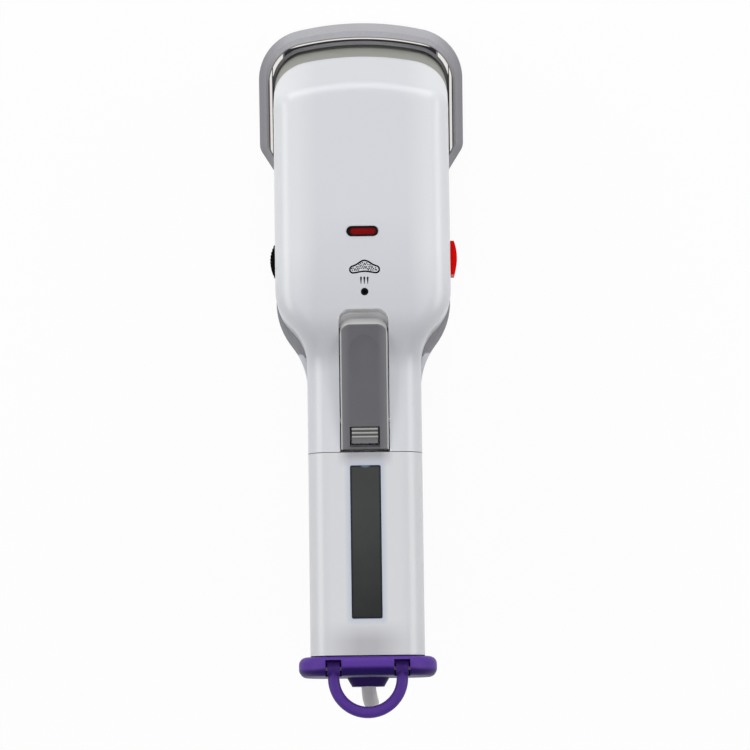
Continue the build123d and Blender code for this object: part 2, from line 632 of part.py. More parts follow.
def make_tank():
    low_y, high_y = -tank_length, -seat_gap
    shell = tank_block(0, low_y, high_y, tank_base)
    shell -= tank_block(tank_wall, low_y + tank_wall, high_y - tank_wall, tank_base - 1)
    length = window_end - window_start
    middle = -(window_start + window_end) / 2
    opening = Pos(0, middle, handle_top - 5) * extrude(RectangleRounded(2 * window_half, length, 0.8), 10)
    pieces["tank_shell"] = shell - opening
    pane = Pos(0, middle, handle_top - tank_wall) * extrude(
        RectangleRounded(2 * window_half, length, 0.8), tank_wall - 0.15)
    lip = Pos(0, middle, handle_top - tank_wall - 1.2) * extrude(
        RectangleRounded(2 * window_half + 3, length + 3, 1.5), 1.2)
    pieces["tank_window"] = pane + lip
    gap = tank_wall + 0.05
    base = block(-handle_half + gap, handle_half - gap, low_y + gap, high_y - gap, tank_base, tank_base + 2.0)
    plug_hole = Pos(0, filler_y, tank_base - 1) * Cylinder(6.0, 8)
    valve_hole = Pos(0, -valve_y, tank_base) * Cylinder(valve_radius - 1.4, 8)
    base = base - plug_hole - valve_hole
    pieces["tank_base"] = base
    valve = upright(0, -valve_y, tank_base - valve_reach, tank_base, valve_radius)
    valve += upright(0, -valve_y, tank_base, tank_base + 5, valve_radius - 1.4)
    valve -= upright(0, -valve_y, tank_base - valve_reach - 1, tank_base + 6, 1.6)
    groove = Pos(0, -valve_y, tank_base - valve_reach + 2.4) * Torus(valve_radius, 0.8)
    pieces["tank_valve"] = valve - groove
    pieces["valve_seal"] = groove
    plug = upright(0, filler_y, tank_base + 0.2, tank_base + 3.4, 5.95)
    plug += upright(0, filler_y, tank_base + 2.1, tank_base + 3.4, 7.0)
    pieces["filler_plug"] = plug - upright(0, filler_y, tank_base, tank_base + 1.4, 3.6)


def make_saddle():
    """The deck that the tank sits on, with the socket for the tank's valve."""
    deck_top = tank_base - seat_gap
    half = handle_half - wall
    deck = block(-half, half, flange_y + 0.4, -0.2, deck_top - saddle_thickness, deck_top)
    socket = upright(0, -valve_y, socket_low, deck_top, socket_radius)
    bore = upright(0, -valve_y, tank_base - valve_reach - 1.2, deck_top + 1, socket_bore)
    drain = Pos(0, -valve_y, socket_low + 3) * Rot(-90, 0, 0) * Cylinder(
        1.5, socket_radius + 1, align=(Align.CENTER, Align.CENTER, Align.MIN))
    deck -= upright(0, -valve_y, 0, 99, socket_radius)
    pieces["tank_socket"] = socket - bore - drain - upright(0, -valve_y, socket_low + 3, deck_top, 1.5)
    for x, y in screw_places:
        if y < 0:
            deck -= upright(x, y, 0, deck_top - 0.5, screw_radius)
    pieces["saddle_deck"] = deck
    pieces["front_shell"] -= block(-40, 40, flange_y - 5, -0.2, deck_top, split_level + 1)


# ---- End flange, loop and gland ----


def make_end():
    middle = (flange_top + flange_low) / 2
    face = Plane.XZ * (Pos(0, middle) * RectangleRounded(2 * flange_half, flange_top - flange_low, flange_corner))
    flange = Pos(0, flange_y, 0) * extrude(face, flange_thickness)
    flange = fillet(flange.edges().filter_by(lambda e: abs(e.center().Y - flange_y) < 0.01
                                            or abs(e.center().Y - flange_end) < 0.01), flange_round)
    for side in (-1, 1):
        x = side * loop_radius
        flange -= block(x - slot_half, x + slot_half, flange_end - 1, loop_y + loop_eye + 0.4,
                        loop_z - loop_eye - 0.4, flange_top + 1)
    pins = [along_x(side * loop_radius - slot_half - 1.6, side * loop_radius + slot_half + 1.6,
                    loop_y, loop_z, loop_pin_radius) for side in (-1, 1)]
    for pin in pins:
        flange -= pin
    pieces["loop_pins"] = Compound(children=pins)
    pieces["end_flange"] = flange - upright_y(0, barrel_level, flange_y + 1, flange_end - 1, gland_barrel + 0.05)

    centre_y = loop_y - (loop_reach - loop_radius)
    path = FilletPolyline((-loop_radius, loop_y, loop_z), (-loop_radius, centre_y - loop_radius, loop_z),
                          (loop_radius, centre_y - loop_radius, loop_z), (loop_radius, loop_y, loop_z),
                          radius=loop_radius - 0.05)
    loop = tube_along(path, loop_tube)
    for side in (-1, 1):
        x = side * loop_radius
        loop += along_x(x - loop_tube - 0.2, x + loop_tube + 0.2, loop_y, loop_z, loop_eye)
        loop -= along_x(x - 5, x + 5, loop_y, loop_z, loop_pin_radius + 0.05)
    pieces["hanging_loop"] = loop

    root = Plane.XZ * (Pos(0, gland_level) * RectangleRounded(2 * gland_half, gland_height, 3.0))
    tip = Plane.XZ * (Pos(0, gland_level) * RectangleRounded(2 * gland_tip_half, gland_height - 3.0, 3.0))
    gland = loft([Pos(0, flange_end, 0) * root, Pos(0, flange_end - gland_length, 0) * tip])
    gland += upright_y(0, barrel_level, flange_end, flange_y - 0.5, gland_barrel)
    hole = cord_diameter / 2 + 0.2
    tip_bore = Pos(0, flange_end - gland_length, gland_level) * Rot(90 + gland_tilt, 0, 0) * Cylinder(hole, 16)
    gland -= upright_y(0, barrel_level + 1.5, flange_end + 2.5, flange_y + 1, hole)
    pieces["cord_gland"] = gland - tip_bore


def upright_y(x, z, y0, y1, radius):
    """A cylinder along Y between y0 and y1."""
    low, high = sorted((y0, y1))
    return Pos(x, low, z) * Rot(-90, 0, 0) * Cylinder(radius, high - low, align=(
        Align.CENTER, Align.CENTER, Align.MIN))


# ---- Side controls ----


def make_controls():
    face_x = head_half + rocker_proud
    pivot_x = head_half - rocker_pivot
    half = rocker_length / 2
    edge_x = face_x - rocker_sagitta
    cap_face = make_face([
        ThreePointArc((edge_x, -half), (face_x, 0), (edge_x, half)),
        Line((edge_x, half), (rocker_back, half)),
        Line((rocker_back, half), (rocker_back, -half)),
        Line((rocker_back, -half), (edge_x, -half)),
    ])
    height = rocker_height
    cap = Pos(0, rocker_y, control_level - height / 2) * extrude(cap_face, height)
    cap -= Pos(rocker_back + 1.5, rocker_y, control_level) * Box(6, rocker_length - 3, height - 3)
    axle = upright(pivot_x, rocker_y, control_level - height / 2 - 1.2, control_level + height / 2 + 1.2, 1.2)
    pieces["power_rocker"] = cap + axle
    inner_x = head_half - wall - 0.1
    body = block(inner_x - 14, inner_x, rocker_y - half - 2.6, rocker_y + half + 2.6,
                 control_level - height / 2 - 2.4, control_level + height / 2 + 2.4)
    body -= block(inner_x - 6.4, inner_x + 1, rocker_y - half - 1.2, rocker_y + half + 1.2,
                  control_level - height / 2 - 0.4, control_level + height / 2 + 0.4)
    body -= upright(pivot_x, rocker_y, 0, 99, 1.25) & block(
        20, 50, 0, 200, control_level - height / 2 - 1.5, control_level + height / 2 + 1.5)
    for offset_y in (-5.0, 0.0, 5.0):
        body += block(inner_x - 20, inner_x - 14, rocker_y + offset_y - 0.4, rocker_y + offset_y + 0.4,
                      control_level - 2.4, control_level + 2.4)
    pieces["rocker_housing"] = body

    x = -(head_half + dial_proud - dial_radius)
    wheel = Circle(dial_radius)
    for i in range(dial_teeth):
        wheel -= Rot(0, 0, 360 / dial_teeth * i) * (Pos(dial_radius + 0.25, 0) * Rectangle(
            2 * dial_tooth + 0.5, pi * dial_radius / dial_teeth, rotation=0))
    disc = Pos(x, dial_y, control_level - dial_thickness / 2) * extrude(wheel, dial_thickness)
    disc -= upright(x, dial_y, control_level + 1.0, 99, dial_radius - 2.5) - upright(x, dial_y, 0, 99, 4.5)
    disc -= upright(x, dial_y, 0, 99, spindle_radius + spindle_play)
    pieces["steam_dial"] = disc
    low, high = control_level - dial_thickness / 2, control_level + dial_thickness / 2
    pieces["dial_spindle"] = upright(x, dial_y, low - 6, high + 1.5, spindle_radius)
    control = block(wall + 0.1 - head_half, x + 8, dial_y - 8, dial_y + 8, low - 0.4 - 6, low - 0.4)
    pieces["steam_control"] = control - pieces["dial_spindle"]


# ---- Fasteners and wiring inside the handle ----


def make_inside():
    screws = []
    for x, y in screw_places:
        tip = handle_top - wall - 6 if y > 0 else split_level - seat_gap - 0.5
        screws.append(upright(x, y, handle_low + 1.2, handle_low + 4, screw_head) + upright(
            x, y, handle_low + 4, tip, screw_radius))
    for screw, (x, y) in zip(screws, screw_places):
        if y > 0:
            pieces["rear_shell"] -= upright(x, y, 0, handle_top - wall - 6, screw_radius)
    pieces["housing_screws"] = Compound(children=screws)
    floor = handle_low + wall
    terminal = block(-11, 11, -66, -54, floor, floor + 9)
    for x in (-6.6, 0, 6.6):
        terminal -= upright_y(x, floor + 4, -67, -53, 1.5)
        terminal -= upright(x, -60, floor + 4, floor + 10, 1.8)
    pieces["terminal_block"] = terminal
    leads = []
    for x in (-6.6, 0, 6.6):
        path = FilletPolyline((x, -54.5, floor + 4), (x, -46, floor + 4), (x * 0.3 - 11.6, -28, floor + 3),
                              (x * 0.3 - 11.6, 30, floor + 3), (x * 0.3 - 11.6, 46, floor + 17), radius=7)
        leads.append(tube_along(path, 0.9))
    pieces["supply_leads"] = Compound(children=leads)
    clamp = block(-13, 13, -84, -77, floor, floor + 16.4)
    pieces["cord_clamp"] = clamp - upright_y(0, barrel_level + 1.5, -85, -76, cord_diameter / 2 + 0.1)


# ---- Cord, hank, tie and plug ----

hank_low = tie_thickness + 0.1
hank_top = hank_low + hank_layers * cord_diameter
cord_rest = hank_low + cord_diameter / 2
plug_level = hank_top + plug_height / 2


def free_route():
    """From inside the gland, down to the surface and into the hank's left side."""
    tip_y = (flange_end - gland_length - chin_y) * cos(radians(plate_tilt)) + gland_level * sin(radians(plate_tilt))
    tip_z = gland_level * cos(radians(plate_tilt)) - (flange_end - gland_length - chin_y) * sin(radians(plate_tilt))
    drop = radians(gland_tilt - plate_tilt)
    start = (0, tip_y + 5.0 * cos(drop), tip_z + 5.0 * sin(drop))
    return [start, (0.3, tip_y - 6.4, tip_z - 3.1), (1.7, tip_y - 10.6, tip_z - 13.5),
            (1.0, tip_y - 10.7, tip_z - 27.0), (0.0, tip_y - 8.6, 30.0),
            (-2.0, tip_y + 1.0, 13.5), (-6.5, tip_y + 17.5, cord_rest + 0.4),
            (-13.0, tip_y + 35.5, cord_rest), (-17.5, tip_y + 55.0, cord_rest)]


def tail_route():
    """From the hank's top layer over to the plug that lies on it."""
    top = hank_top - cord_diameter / 2
    return [(14.2, -50.5, top), (14.0, -64.0, top), (12.9, -76.0, top + 3.4), (11.2, -87.5, top + 8.9),
            at_plug(0, 43.5), at_plug(0.25, 32), at_plug(0, plug_length / 2 + 0.5)]


def at_plug(x, y):
    """A point given across and along the plug, at the height of its middle."""
    turn = radians(plug_turn)
    return (x * cos(turn) + y * sin(turn), plug_y - x * sin(turn) + y * cos(turn), plug_level)


def cord_tube(name, route):
    """Straight runs joined by tangent arcs, each as large as its two runs allow."""
    points = [Vector(*point) for point in route]
    radii = []
    for before, corner, after in zip(points, points[1:], points[2:]):
        run_in, run_out = corner - before, after - corner
        turn = radians(run_in.get_angle(run_out))
        radii.append(0.45 * min(run_in.length, run_out.length) / tan(turn / 2))
    path = FilletPolyline(*points, radius=radii)
    tube = sweep(Plane(origin=path @ 0, z_dir=path % 0) * Circle(cord_diameter / 2), path=path)
    expected = pi * cord_diameter**2 / 4 * path.length
    print(name, "length", round(path.length, 1), "radii", [round(r, 1) for r in radii],
          "volume", round(tube.volume), "expected", round(expected))
    return tube


def make_cord():
    laid = {}
    length, middle = hank_end - hank_start, (hank_start + hank_end) / 2
    inner_half = hank_half - hank_turns * cord_diameter
    outer = Pos(0, middle) * Rot(0, 0, 90) * SlotOverall(length, 2 * hank_half)
    hole = Pos(0, middle) * Rot(0, 0, 90) * SlotOverall(length - 2 * hank_turns * cord_diameter, 2 * inner_half)
    hank = extrude(Pos(0, 0, hank_low) * outer, hank_top - hank_low)
    hank = fillet(hank.edges().group_by(Axis.Z)[-1] + hank.edges().group_by(Axis.Z)[0], 3.0)
    hank -= extrude(Pos(0, 0, hank_low - 1) * hole, hank_top + 2)
    laid["cord_hank"] = hank
    laid["cord_tube"] = cord_tube("cord_tube", free_route())
    tie_outer = Pos(0, tie_y, 0.05) * Box(2 * (hank_half + tie_thickness), tie_width, hank_top + tie_thickness,
                                          align=(Align.CENTER, Align.CENTER, Align.MIN))
    tie_outer = fillet(tie_outer.edges().filter_by(Axis.Y), 3.6)
    laid["cord_tie"] = tie_outer - hank - Pos(0, tie_y, hank_low) * Box(
        2 * hank_half - 6, tie_width + 2, hank_top - hank_low, align=(Align.CENTER, Align.CENTER, Align.MIN))

    lay = Pos(0, plug_y, plug_level) * Rot(0, 0, -plug_turn)
    back = plug_length / 2
    body = Box(2 * plug_half, plug_length, plug_height)
    body = chamfer(body.edges().filter_by(Axis.Z).group_by(Axis.Y)[-1], 9.0, 6.0)
    body = fillet(body.edges().filter_by(Axis.Y), 4.0)
    relief = loft([Plane(origin=(0, back - 1, 0), z_dir=(0, 1, 0)) * Circle(5.6),
                   Plane(origin=(0, back + relief_length, 0), z_dir=(0, 1, 0)) * Circle(3.9)])
    laid["cord_tail"] = cord_tube("cord_tail", tail_route())
    blades = []
    for side in (-1, 1):
        blade = Pos(side * blade_pitch / 2, -back - blade_length / 2 + 3, 0) * Box(
            blade_thickness, blade_length + 6, blade_width)
        blades.append(blade)
        body -= blade
    hole = Pos(0, back + relief_length / 2 + 1, 0) * Rot(90, 0, 0) * Cylinder(
        cord_diameter / 2 + 0.3, relief_length + 2)
    laid["plug_body"] = lay * (body + relief - hole)
    laid["plug_blades"] = lay * Compound(children=blades)
    return laid


def write_parts(laid):
    """Turn the whole thing onto its soleplate, centre it and write each node."""
    stand = Rot(-plate_tilt, 0, 0) * Pos(0, -chin_y, 0)
    placed = {name: stand * piece for name, piece in pieces.items()}
    low = min(piece.bounding_box().min.Y for piece in placed.values())
    high = max(piece.bounding_box().max.Y for piece in placed.values())
    middle = round((low + high) / 2, 2)
    print("centred by", middle, "from", round(low, 2), "to", round(high, 2))
    placed.update(laid)
    os.makedirs("parts", exist_ok=True)
    for name, piece in placed.items():
        export_step(Pos(0, -middle, 0) * piece, "parts/" + name + ".step")


make_grips()
split_skirt()
make_plate()
boiler_cover_top = make_boiler()
make_lamp()
make_trigger()
make_pump()
make_saddle()
make_tank()
make_end()
make_controls()
make_inside()
write_parts(make_cord())
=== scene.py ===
import json
import bpy
import numpy as np
from mathutils import Matrix, Vector


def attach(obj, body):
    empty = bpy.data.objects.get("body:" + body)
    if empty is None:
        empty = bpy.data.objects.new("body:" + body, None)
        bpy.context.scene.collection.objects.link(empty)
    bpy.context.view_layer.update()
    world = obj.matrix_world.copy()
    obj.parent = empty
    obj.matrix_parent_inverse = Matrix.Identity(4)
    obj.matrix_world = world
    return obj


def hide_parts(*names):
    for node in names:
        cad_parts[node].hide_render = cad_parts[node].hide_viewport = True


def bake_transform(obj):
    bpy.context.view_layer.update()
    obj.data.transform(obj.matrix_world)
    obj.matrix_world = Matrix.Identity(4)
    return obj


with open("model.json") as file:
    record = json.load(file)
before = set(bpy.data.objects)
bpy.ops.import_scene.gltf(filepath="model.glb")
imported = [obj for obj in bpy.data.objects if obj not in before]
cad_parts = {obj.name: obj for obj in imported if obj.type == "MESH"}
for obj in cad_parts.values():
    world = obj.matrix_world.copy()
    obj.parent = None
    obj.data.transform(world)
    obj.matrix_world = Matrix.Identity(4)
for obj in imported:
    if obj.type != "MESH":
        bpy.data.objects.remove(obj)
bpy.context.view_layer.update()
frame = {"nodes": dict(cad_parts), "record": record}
print("frame loaded")


# A shader socket that takes part in ordinary expressions.
class Wire:
    def __init__(self, tree, socket):
        self.tree, self.socket = tree, socket

    def calc(self, operation, *others):
        node = self.tree.nodes.new("ShaderNodeMath")
        node.operation = operation
        for slot, value in zip(node.inputs, (self,) + others):
            plug(self.tree, slot, value)
        return Wire(self.tree, node.outputs[0])

    def __add__(self, other):
        return self.calc("ADD", other)

    def __sub__(self, other):
        return self.calc("SUBTRACT", other)

    def __mul__(self, other):
        return self.calc("MULTIPLY", other)

    def __truediv__(self, other):
        return self.calc("DIVIDE", other)

    def __rsub__(self, other):
        return self.calc("MULTIPLY", -1) + other

    __radd__ = __add__
    __rmul__ = __mul__

    def size(self):
        # the value without its sign
        return self.calc("ABSOLUTE")

    def clamp(self):
        return self.calc("MAXIMUM", 0).calc("MINIMUM", 1)

    def ramp(self, low, high):
        # 0 below low, 1 above high, and straight between
        return ((self - low) / (high - low)).clamp()


def plug(tree, slot, value):
    # a wire is linked to the socket, and a plain value is written into it
    if isinstance(value, Wire):
        tree.links.new(value.socket, slot)
    else:
        slot.default_value = value


def distance(a, b):
    # length of the hypotenuse over two sides
    return (a * a + b * b).calc("SQRT")


def linear(colour):
    # a colour written as it looks, from 0 to 255, as linear values: a straight foot, then a power of 2.4
    c = np.array(colour, float) / 255
    return tuple(np.where(c <= 0.04045, c / 12.92, ((c + 0.055) / 1.055) ** 2.4)) + (1.0,)


def tone(colour, share):
    # a written colour made darker or lighter by a share of its linear value
    return tuple(min(1.0, c * share) for c in linear(colour)[:3]) + (1.0,)


noiseSpan = (0.3, 0.7)     # nearly all of a noise's values lie between these


# One material and its tree. node() makes any node from its type, its settings and its sockets, which are
# named or counted as i0, i1 and on.
class Finish:
    def __init__(self, name, **base):
        self.material = bpy.data.materials.new(name)
        self.material.use_nodes = True
        self.tree = self.material.node_tree
        self.shader = self.tree.nodes["Principled BSDF"]
        self.set(**base)

    def node(self, kind, settings=None, out=0, **sockets):
        made = self.tree.nodes.new("ShaderNode" + kind)
        for key, value in (settings or {}).items():
            setattr(made, key, value)
        for key, value in sockets.items():
            plug(self.tree, made.inputs[int(key[1:]) if key[1:].isdigit() else key.replace("_", " ")], value)
        return Wire(self.tree, made.outputs[out])

    def set(self, **sockets):
        for key, value in sockets.items():
            plug(self.tree, self.shader.inputs[key.replace("_", " ")], value)

    def place(self):
        return self.node("TexCoord", out="Object")

    def axes(self):
        # the three object coordinates
        made = self.node("SeparateXYZ", i0=self.place()).socket.node
        return [Wire(self.tree, output) for output in made.outputs]

    def noise(self, scale, detail, vector=None):
        return self.node("TexNoise", i0=vector or self.place(), Scale=scale, Detail=detail)

    def mix(self, factor, a, b):
        # a where the factor is 0, b where it is 1
        return self.node("Mix", {"data_type": "RGBA"}, 2, i0=factor, i6=a, i7=b)

    def cover(self, factor, below, colour):
        # as mix, over a wire, with a colour written as it looks
        return self.mix(factor, below, linear(colour))

    def drift(self, factor, colour, spread):
        # the colour, darker by the spread where the factor is 0 and lighter by it where it is 1
        return self.mix(factor, tone(colour, 1 - spread), tone(colour, 1 + spread))

    def roughen(self, wander, low, high):
        # roughness from low to high as the noise goes through its span
        self.set(Roughness=low + wander.ramp(*noiseSpan) * (high - low))

    def bump(self, height, strength, depth):
        self.set(Normal=self.node("Bump", Strength=strength, Distance=depth, Height=height))

    def grain(self, scale, detail, strength, depth):
        # a fine noise, raised
        self.bump(self.noise(scale, detail), strength, depth)

    def surface(self, look):
        # roughness follows a coarse noise, and a fine grain is raised
        self.roughen(self.noise(look["roughScale"], 3), *look["rough"])
        self.grain(*look["grain"])


tilt = np.radians(12.0)
chinY, middleY = 0.094, -0.04162


def inRow(points):
    # from the housing's frame to the row's: back by the chin, turned by the plate's tilt, centred
    p = np.asarray(points, float)
    y, z = p[..., 1] - chinY, p[..., 2]
    turned = y * np.cos(tilt) + z * np.sin(tilt) - middleY, z * np.cos(tilt) - y * np.sin(tilt)
    return np.stack((p[..., 0],) + turned, axis=-1)


def inHousing(finish):
    # object coordinates taken back to the housing's own axes: across, along the handle, and up from its front
    x, y, z = finish.axes()
    u = y + middleY
    return x, u * np.cos(tilt) - z * np.sin(tilt) + chinY, u * np.sin(tilt) + z * np.cos(tilt)


def gridFaces(rows, columns, closeColumns=False):
    # the quads of a grid, wrapped round where its columns close
    i = np.arange(rows - 1)[:, None]
    j = np.arange(columns if closeColumns else columns - 1)[None, :]
    here, below, right = i * columns, (i + 1) * columns, (j + 1) % columns
    return np.stack([here + j, here + right, below + right, below + j], -1).reshape(-1, 4)


def ringPoints(count):
    # cosine and sine at even steps round a circle from angle 0
    turn = np.linspace(0, 2 * np.pi, count, endpoint=False)
    return np.column_stack([np.cos(turn), np.sin(turn)])


def makePiece(name, points, faces, finish, body):
    # a smooth mesh from points in the row's frame, riding on its body if it has one
    mesh = bpy.data.meshes.new(name)
    mesh.from_pydata(np.asarray(points, float).reshape(-1, 3).tolist(), [], [list(f) for f in faces])
    mesh.polygons.foreach_set("use_smooth", np.ones(len(mesh.polygons), bool))
    mesh.materials.append(finish.material)
    mesh.update()
    piece = bpy.data.objects.new(name, mesh)
    bpy.context.scene.collection.objects.link(piece)
    if body:
        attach(piece, body)
    return piece


view = {
    "distance": 1.8,
    "width": 0.3412,                   # what the frame spans at the aimed place
    "aim": (0.00487, -0.0049, 0.0559),
    "lean": 6.0,
    "roll": 0.75,
    "sensor": 36.0,
}


def makeCamera():
    # back leans from straight up towards the nose, right is level but for the roll, and up is square to both
    data = bpy.data.cameras.new("camera")
    data.sensor_width = view["sensor"]
    data.lens = view["sensor"] * view["distance"] / view["width"]
    camera = bpy.data.objects.new("camera", data)
    bpy.context.scene.collection.objects.link(camera)
    lean, roll = np.radians(view["lean"]), np.radians(view["roll"])
    back = Vector((0, np.sin(lean), np.cos(lean)))
    right = Vector((np.cos(roll), -np.sin(roll) * np.cos(lean), np.sin(roll) * np.sin(lean)))
    turn = Matrix((right, back.cross(right), back)).transposed()
    camera.matrix_world = Matrix.Translation(Vector(view["aim"]) + back * view["distance"]) @ turn.to_4x4()
    bpy.context.scene.camera = camera


makeCamera()
print("camera placed")


# Colour, roughness from and to, the grain's scale and its depth. Where they differ from the usual: how far
# the tone spreads, the scale of its patches, the shine, and how far light sinks in.
mouldedLooks = {
    "skirtGrey": {"colour": (149, 149, 143), "rough": (0.5, 0.62), "grain": 1800, "depth": 0.00001},
    "gripGrey": {"colour": (143, 143, 147), "rough": (0.62, 0.75), "grain": 1400, "depth": 0.00002},
    "loopPurple": {"colour": (80, 50, 138), "rough": (0.36, 0.48), "grain": 600, "depth": 0.00001,
                   "spread": 0.08, "shine": 0.15},
    "glandPurple": {"colour": (32, 13, 72), "rough": (0.4, 0.55), "grain": 900, "depth": 0.00002,
                    "shine": 0.15},
    "rockerRed": {"colour": (208, 6, 2), "rough": (0.3, 0.38), "grain": 600, "depth": 0.00001,
                  "shine": 0.08},
    "blackPlastic": {"colour": (19, 19, 20), "rough": (0.38, 0.5), "grain": 1600, "depth": 0.00001,
                     "shine": 0.3},
    "dialBlack": {"colour": (11, 11, 12), "rough": (0.5, 0.6), "grain": 1600, "depth": 0.00001,
                  "shine": 0.02},
    "plugBlack": {"colour": (34, 34, 36), "rough": (0.48, 0.6), "grain": 1200, "depth": 0.00003},
    "rubberDark": {"colour": (30, 30, 31), "rough": (0.7, 0.85), "grain": 1200, "depth": 0.00004},
    "innerNylon": {"colour": (206, 203, 190), "rough": (0.45, 0.6), "grain": 900, "depth": 0.00003},
    "tubeSilicone": {"colour": (216, 214, 206), "rough": (0.3, 0.42), "grain": 900, "depth": 0.00003,
                     "sink": 0.15},
    "cordGrey": {"colour": (180, 177, 179), "rough": (0.42, 0.56), "grain": 900, "depth": 0.00003,
                 "patch": 40},
    "wireBlack": {"colour": (22, 22, 23), "rough": (0.4, 0.5), "grain": 1200, "depth": 0.00002},
    "printBlack": {"colour": (5, 5, 6), "rough": (0.5, 0.6), "grain": 900, "depth": 0.000002,
                   "shine": 0.05},
}
usual = {"spread": 0.04, "patch": 60, "shine": 0.5, "sink": 0.0, "glossPerPatch": 2.7}

# Colour, roughness from and to, the noise's scale, its stretch along each axis and its depth.
metalLooks = {
    "plateSteel": {"colour": (186, 187, 190), "rough": (0.26, 0.4), "grain": 1100, "drawn": (1, 0.02, 1),
                   "depth": 0.000004},
    "castMetal": {"colour": (178, 178, 180), "rough": (0.45, 0.62), "grain": 900, "drawn": (1, 1, 1),
                  "depth": 0.00012},
    "heaterMetal": {"colour": (112, 104, 98), "rough": (0.35, 0.55), "grain": 140, "drawn": (1, 1, 1),
                    "depth": 0.00002},
    "screwSteel": {"colour": (176, 177, 178), "rough": (0.25, 0.4), "grain": 1800, "drawn": (1, 1, 0.2),
                   "depth": 0.00001},
    "pinSteel": {"colour": (150, 148, 152), "rough": (0.2, 0.34), "grain": 2400, "drawn": (0.05, 1, 1),
                 "depth": 0.00001},
    "loopPin": {"colour": (112, 98, 112), "rough": (0.3, 0.44), "grain": 2400, "drawn": (1, 1, 1),
                "depth": 0.000004},
    "springSteel": {"colour": (160, 160, 163), "rough": (0.22, 0.36), "grain": 3000, "drawn": (1, 1, 0.2),
                    "depth": 0.000005},
    "brass": {"colour": (196, 164, 96), "rough": (0.24, 0.4), "grain": 1400, "drawn": (1, 0.1, 1),
              "depth": 0.00001},
}
metalTones = (0.86, 1.1)


def makeMoulded(name, look):
    # colour wanders a little between two tones, gloss wanders with a finer noise, and a fine grain is raised
    look = usual | look
    finish = Finish(name, Specular_IOR_Level=look["shine"], Subsurface_Weight=look["sink"])
    finish.set(Base_Color=finish.drift(finish.noise(look["patch"], 3), look["colour"], look["spread"]))
    finish.roughen(finish.noise(look["patch"] * look["glossPerPatch"], 3), *look["rough"])
    finish.grain(look["grain"], 4, 0.6, look["depth"])
    return finish


def makeMetal(name, look):
    # one noise, drawn out along the brushing, gives the tone, the roughness and the grain
    finish = Finish(name, Metallic=1.0)
    drawn = finish.node("Mapping", i0=finish.place(), i3=look["drawn"])
    lines = finish.noise(look["grain"], 3, drawn)
    finish.set(Base_Color=finish.mix(lines, *(tone(look["colour"], share) for share in metalTones)))
    finish.roughen(lines, *look["rough"])
    finish.bump(lines, 0.5, look["depth"])
    return finish


finishes = {name: makeMoulded(name, look) for name, look in mouldedLooks.items()}
finishes |= {name: makeMetal(name, look) for name, look in metalLooks.items()}


satinLook = {
    "patch": 24,
    "spread": 0.008,
    "rough": 0.27,
    "wander": (30, 0.02),              # the scale and amount of its drift
    "grain": (1800, 3, 0.3, 0.000002),
}
shellLook = {
    "colour": (210, 212, 217),
    "edge": (221, 223, 226),           # painted highlight: the rounded sides of the head, a little brighter
    "sheenAcross": (0.020, 0.031),
    "sheenAlong": (0.066, 0.090),
    "climb": (196, 197, 203),          # painted shade: the slope down to the handle, a little greyer
    "climbShadeStart": (0.036, 0.044),      # along
    "climbShadeEnd": (0.060, 0.108),
    "climbShadeAcross": (0.022, 0.032),
    "climbShadeShare": 0.9,
    "well": (253, 253, 255),           # painted light: the walls of the trigger's well, made near white
    "wellCorner": (0.0112, 0.0634, 0.005),   # its half width, end and corner radius
    "wellEdge": (0.00003, 0.00008),
    "grip": (140, 140, 144),           # the side grips' grey runs over the front shell's flank beside them
    "gripMiddle": (0.0590, 0.046),     # along, and the height of its upper edge
    "gripHalf": (0.0130, 0.011),       # half its length, and its depth
    "gripFade": 0.0015,
    "gripFoot": (0.020, 0.021),        # up
}


def beyondCorner(x, y, corner):
    # distance from a point set back inside a rounded corner, less the corner's radius: above 0 outside it
    half, end, radius = corner
    across = (x.size() - (half - radius)).calc("MAXIMUM", 0)
    past = (y - (end - radius)).calc("MAXIMUM", 0)
    return distance(across, past) - radius


def startSatin(name, colour):
    # a smooth white moulding and its colour: hardly any drift in tone and gloss, and a very fine grain
    finish = Finish(name)
    scale, amount = satinLook["wander"]
    finish.set(Roughness=satinLook["rough"] + finish.noise(scale, 2) * amount)
    finish.grain(*satinLook["grain"])
    return finish, finish.drift(finish.noise(satinLook["patch"], 2), colour, satinLook["spread"])


def makeShellWhite(name, look, gripped):
    # painted shade: greyer on the slope by the trigger; painted highlight: brighter on the head's sides;
    # painted light: white in the well; and grey in a lens shape below the grips: along it, the depth falls
    # with the square of the distance from its middle
    finish, white = startSatin(name, look["colour"])
    x, along, up = inHousing(finish)
    across = x.size()
    # painted shade on the slope down to the handle
    climb = along.ramp(*look["climbShadeStart"]) * (1 - along.ramp(*look["climbShadeEnd"]))
    climb = climb * (1 - across.ramp(*look["climbShadeAcross"])) * look["climbShadeShare"]
    white = finish.cover(climb, white, look["climb"])
    # painted highlight on the head's rounded sides
    side = across.ramp(*look["sheenAcross"]) * along.ramp(*look["sheenAlong"])
    white = finish.cover(side, white, look["edge"])
    # painted light on the walls of the trigger's well
    well = 1 - beyondCorner(x, along, look["wellCorner"]).ramp(*look["wellEdge"])
    white = finish.cover(well, white, look["well"])
    if gripped:
        middle, height = look["gripMiddle"]
        reach, drop = look["gripHalf"]
        lens = 1 - ((along - middle) / reach).calc("POWER", 2)
        band = (lens * drop - (height - up)).ramp(0, look["gripFade"]) * up.ramp(*look["gripFoot"])
        white = finish.cover(band, white, look["grip"])
    finish.set(Base_Color=white)
    return finish


finishes["shellWhite"] = makeShellWhite("shellWhite", shellLook, gripped=False)
finishes["frontWhite"] = makeShellWhite("frontWhite", shellLook, gripped=True)


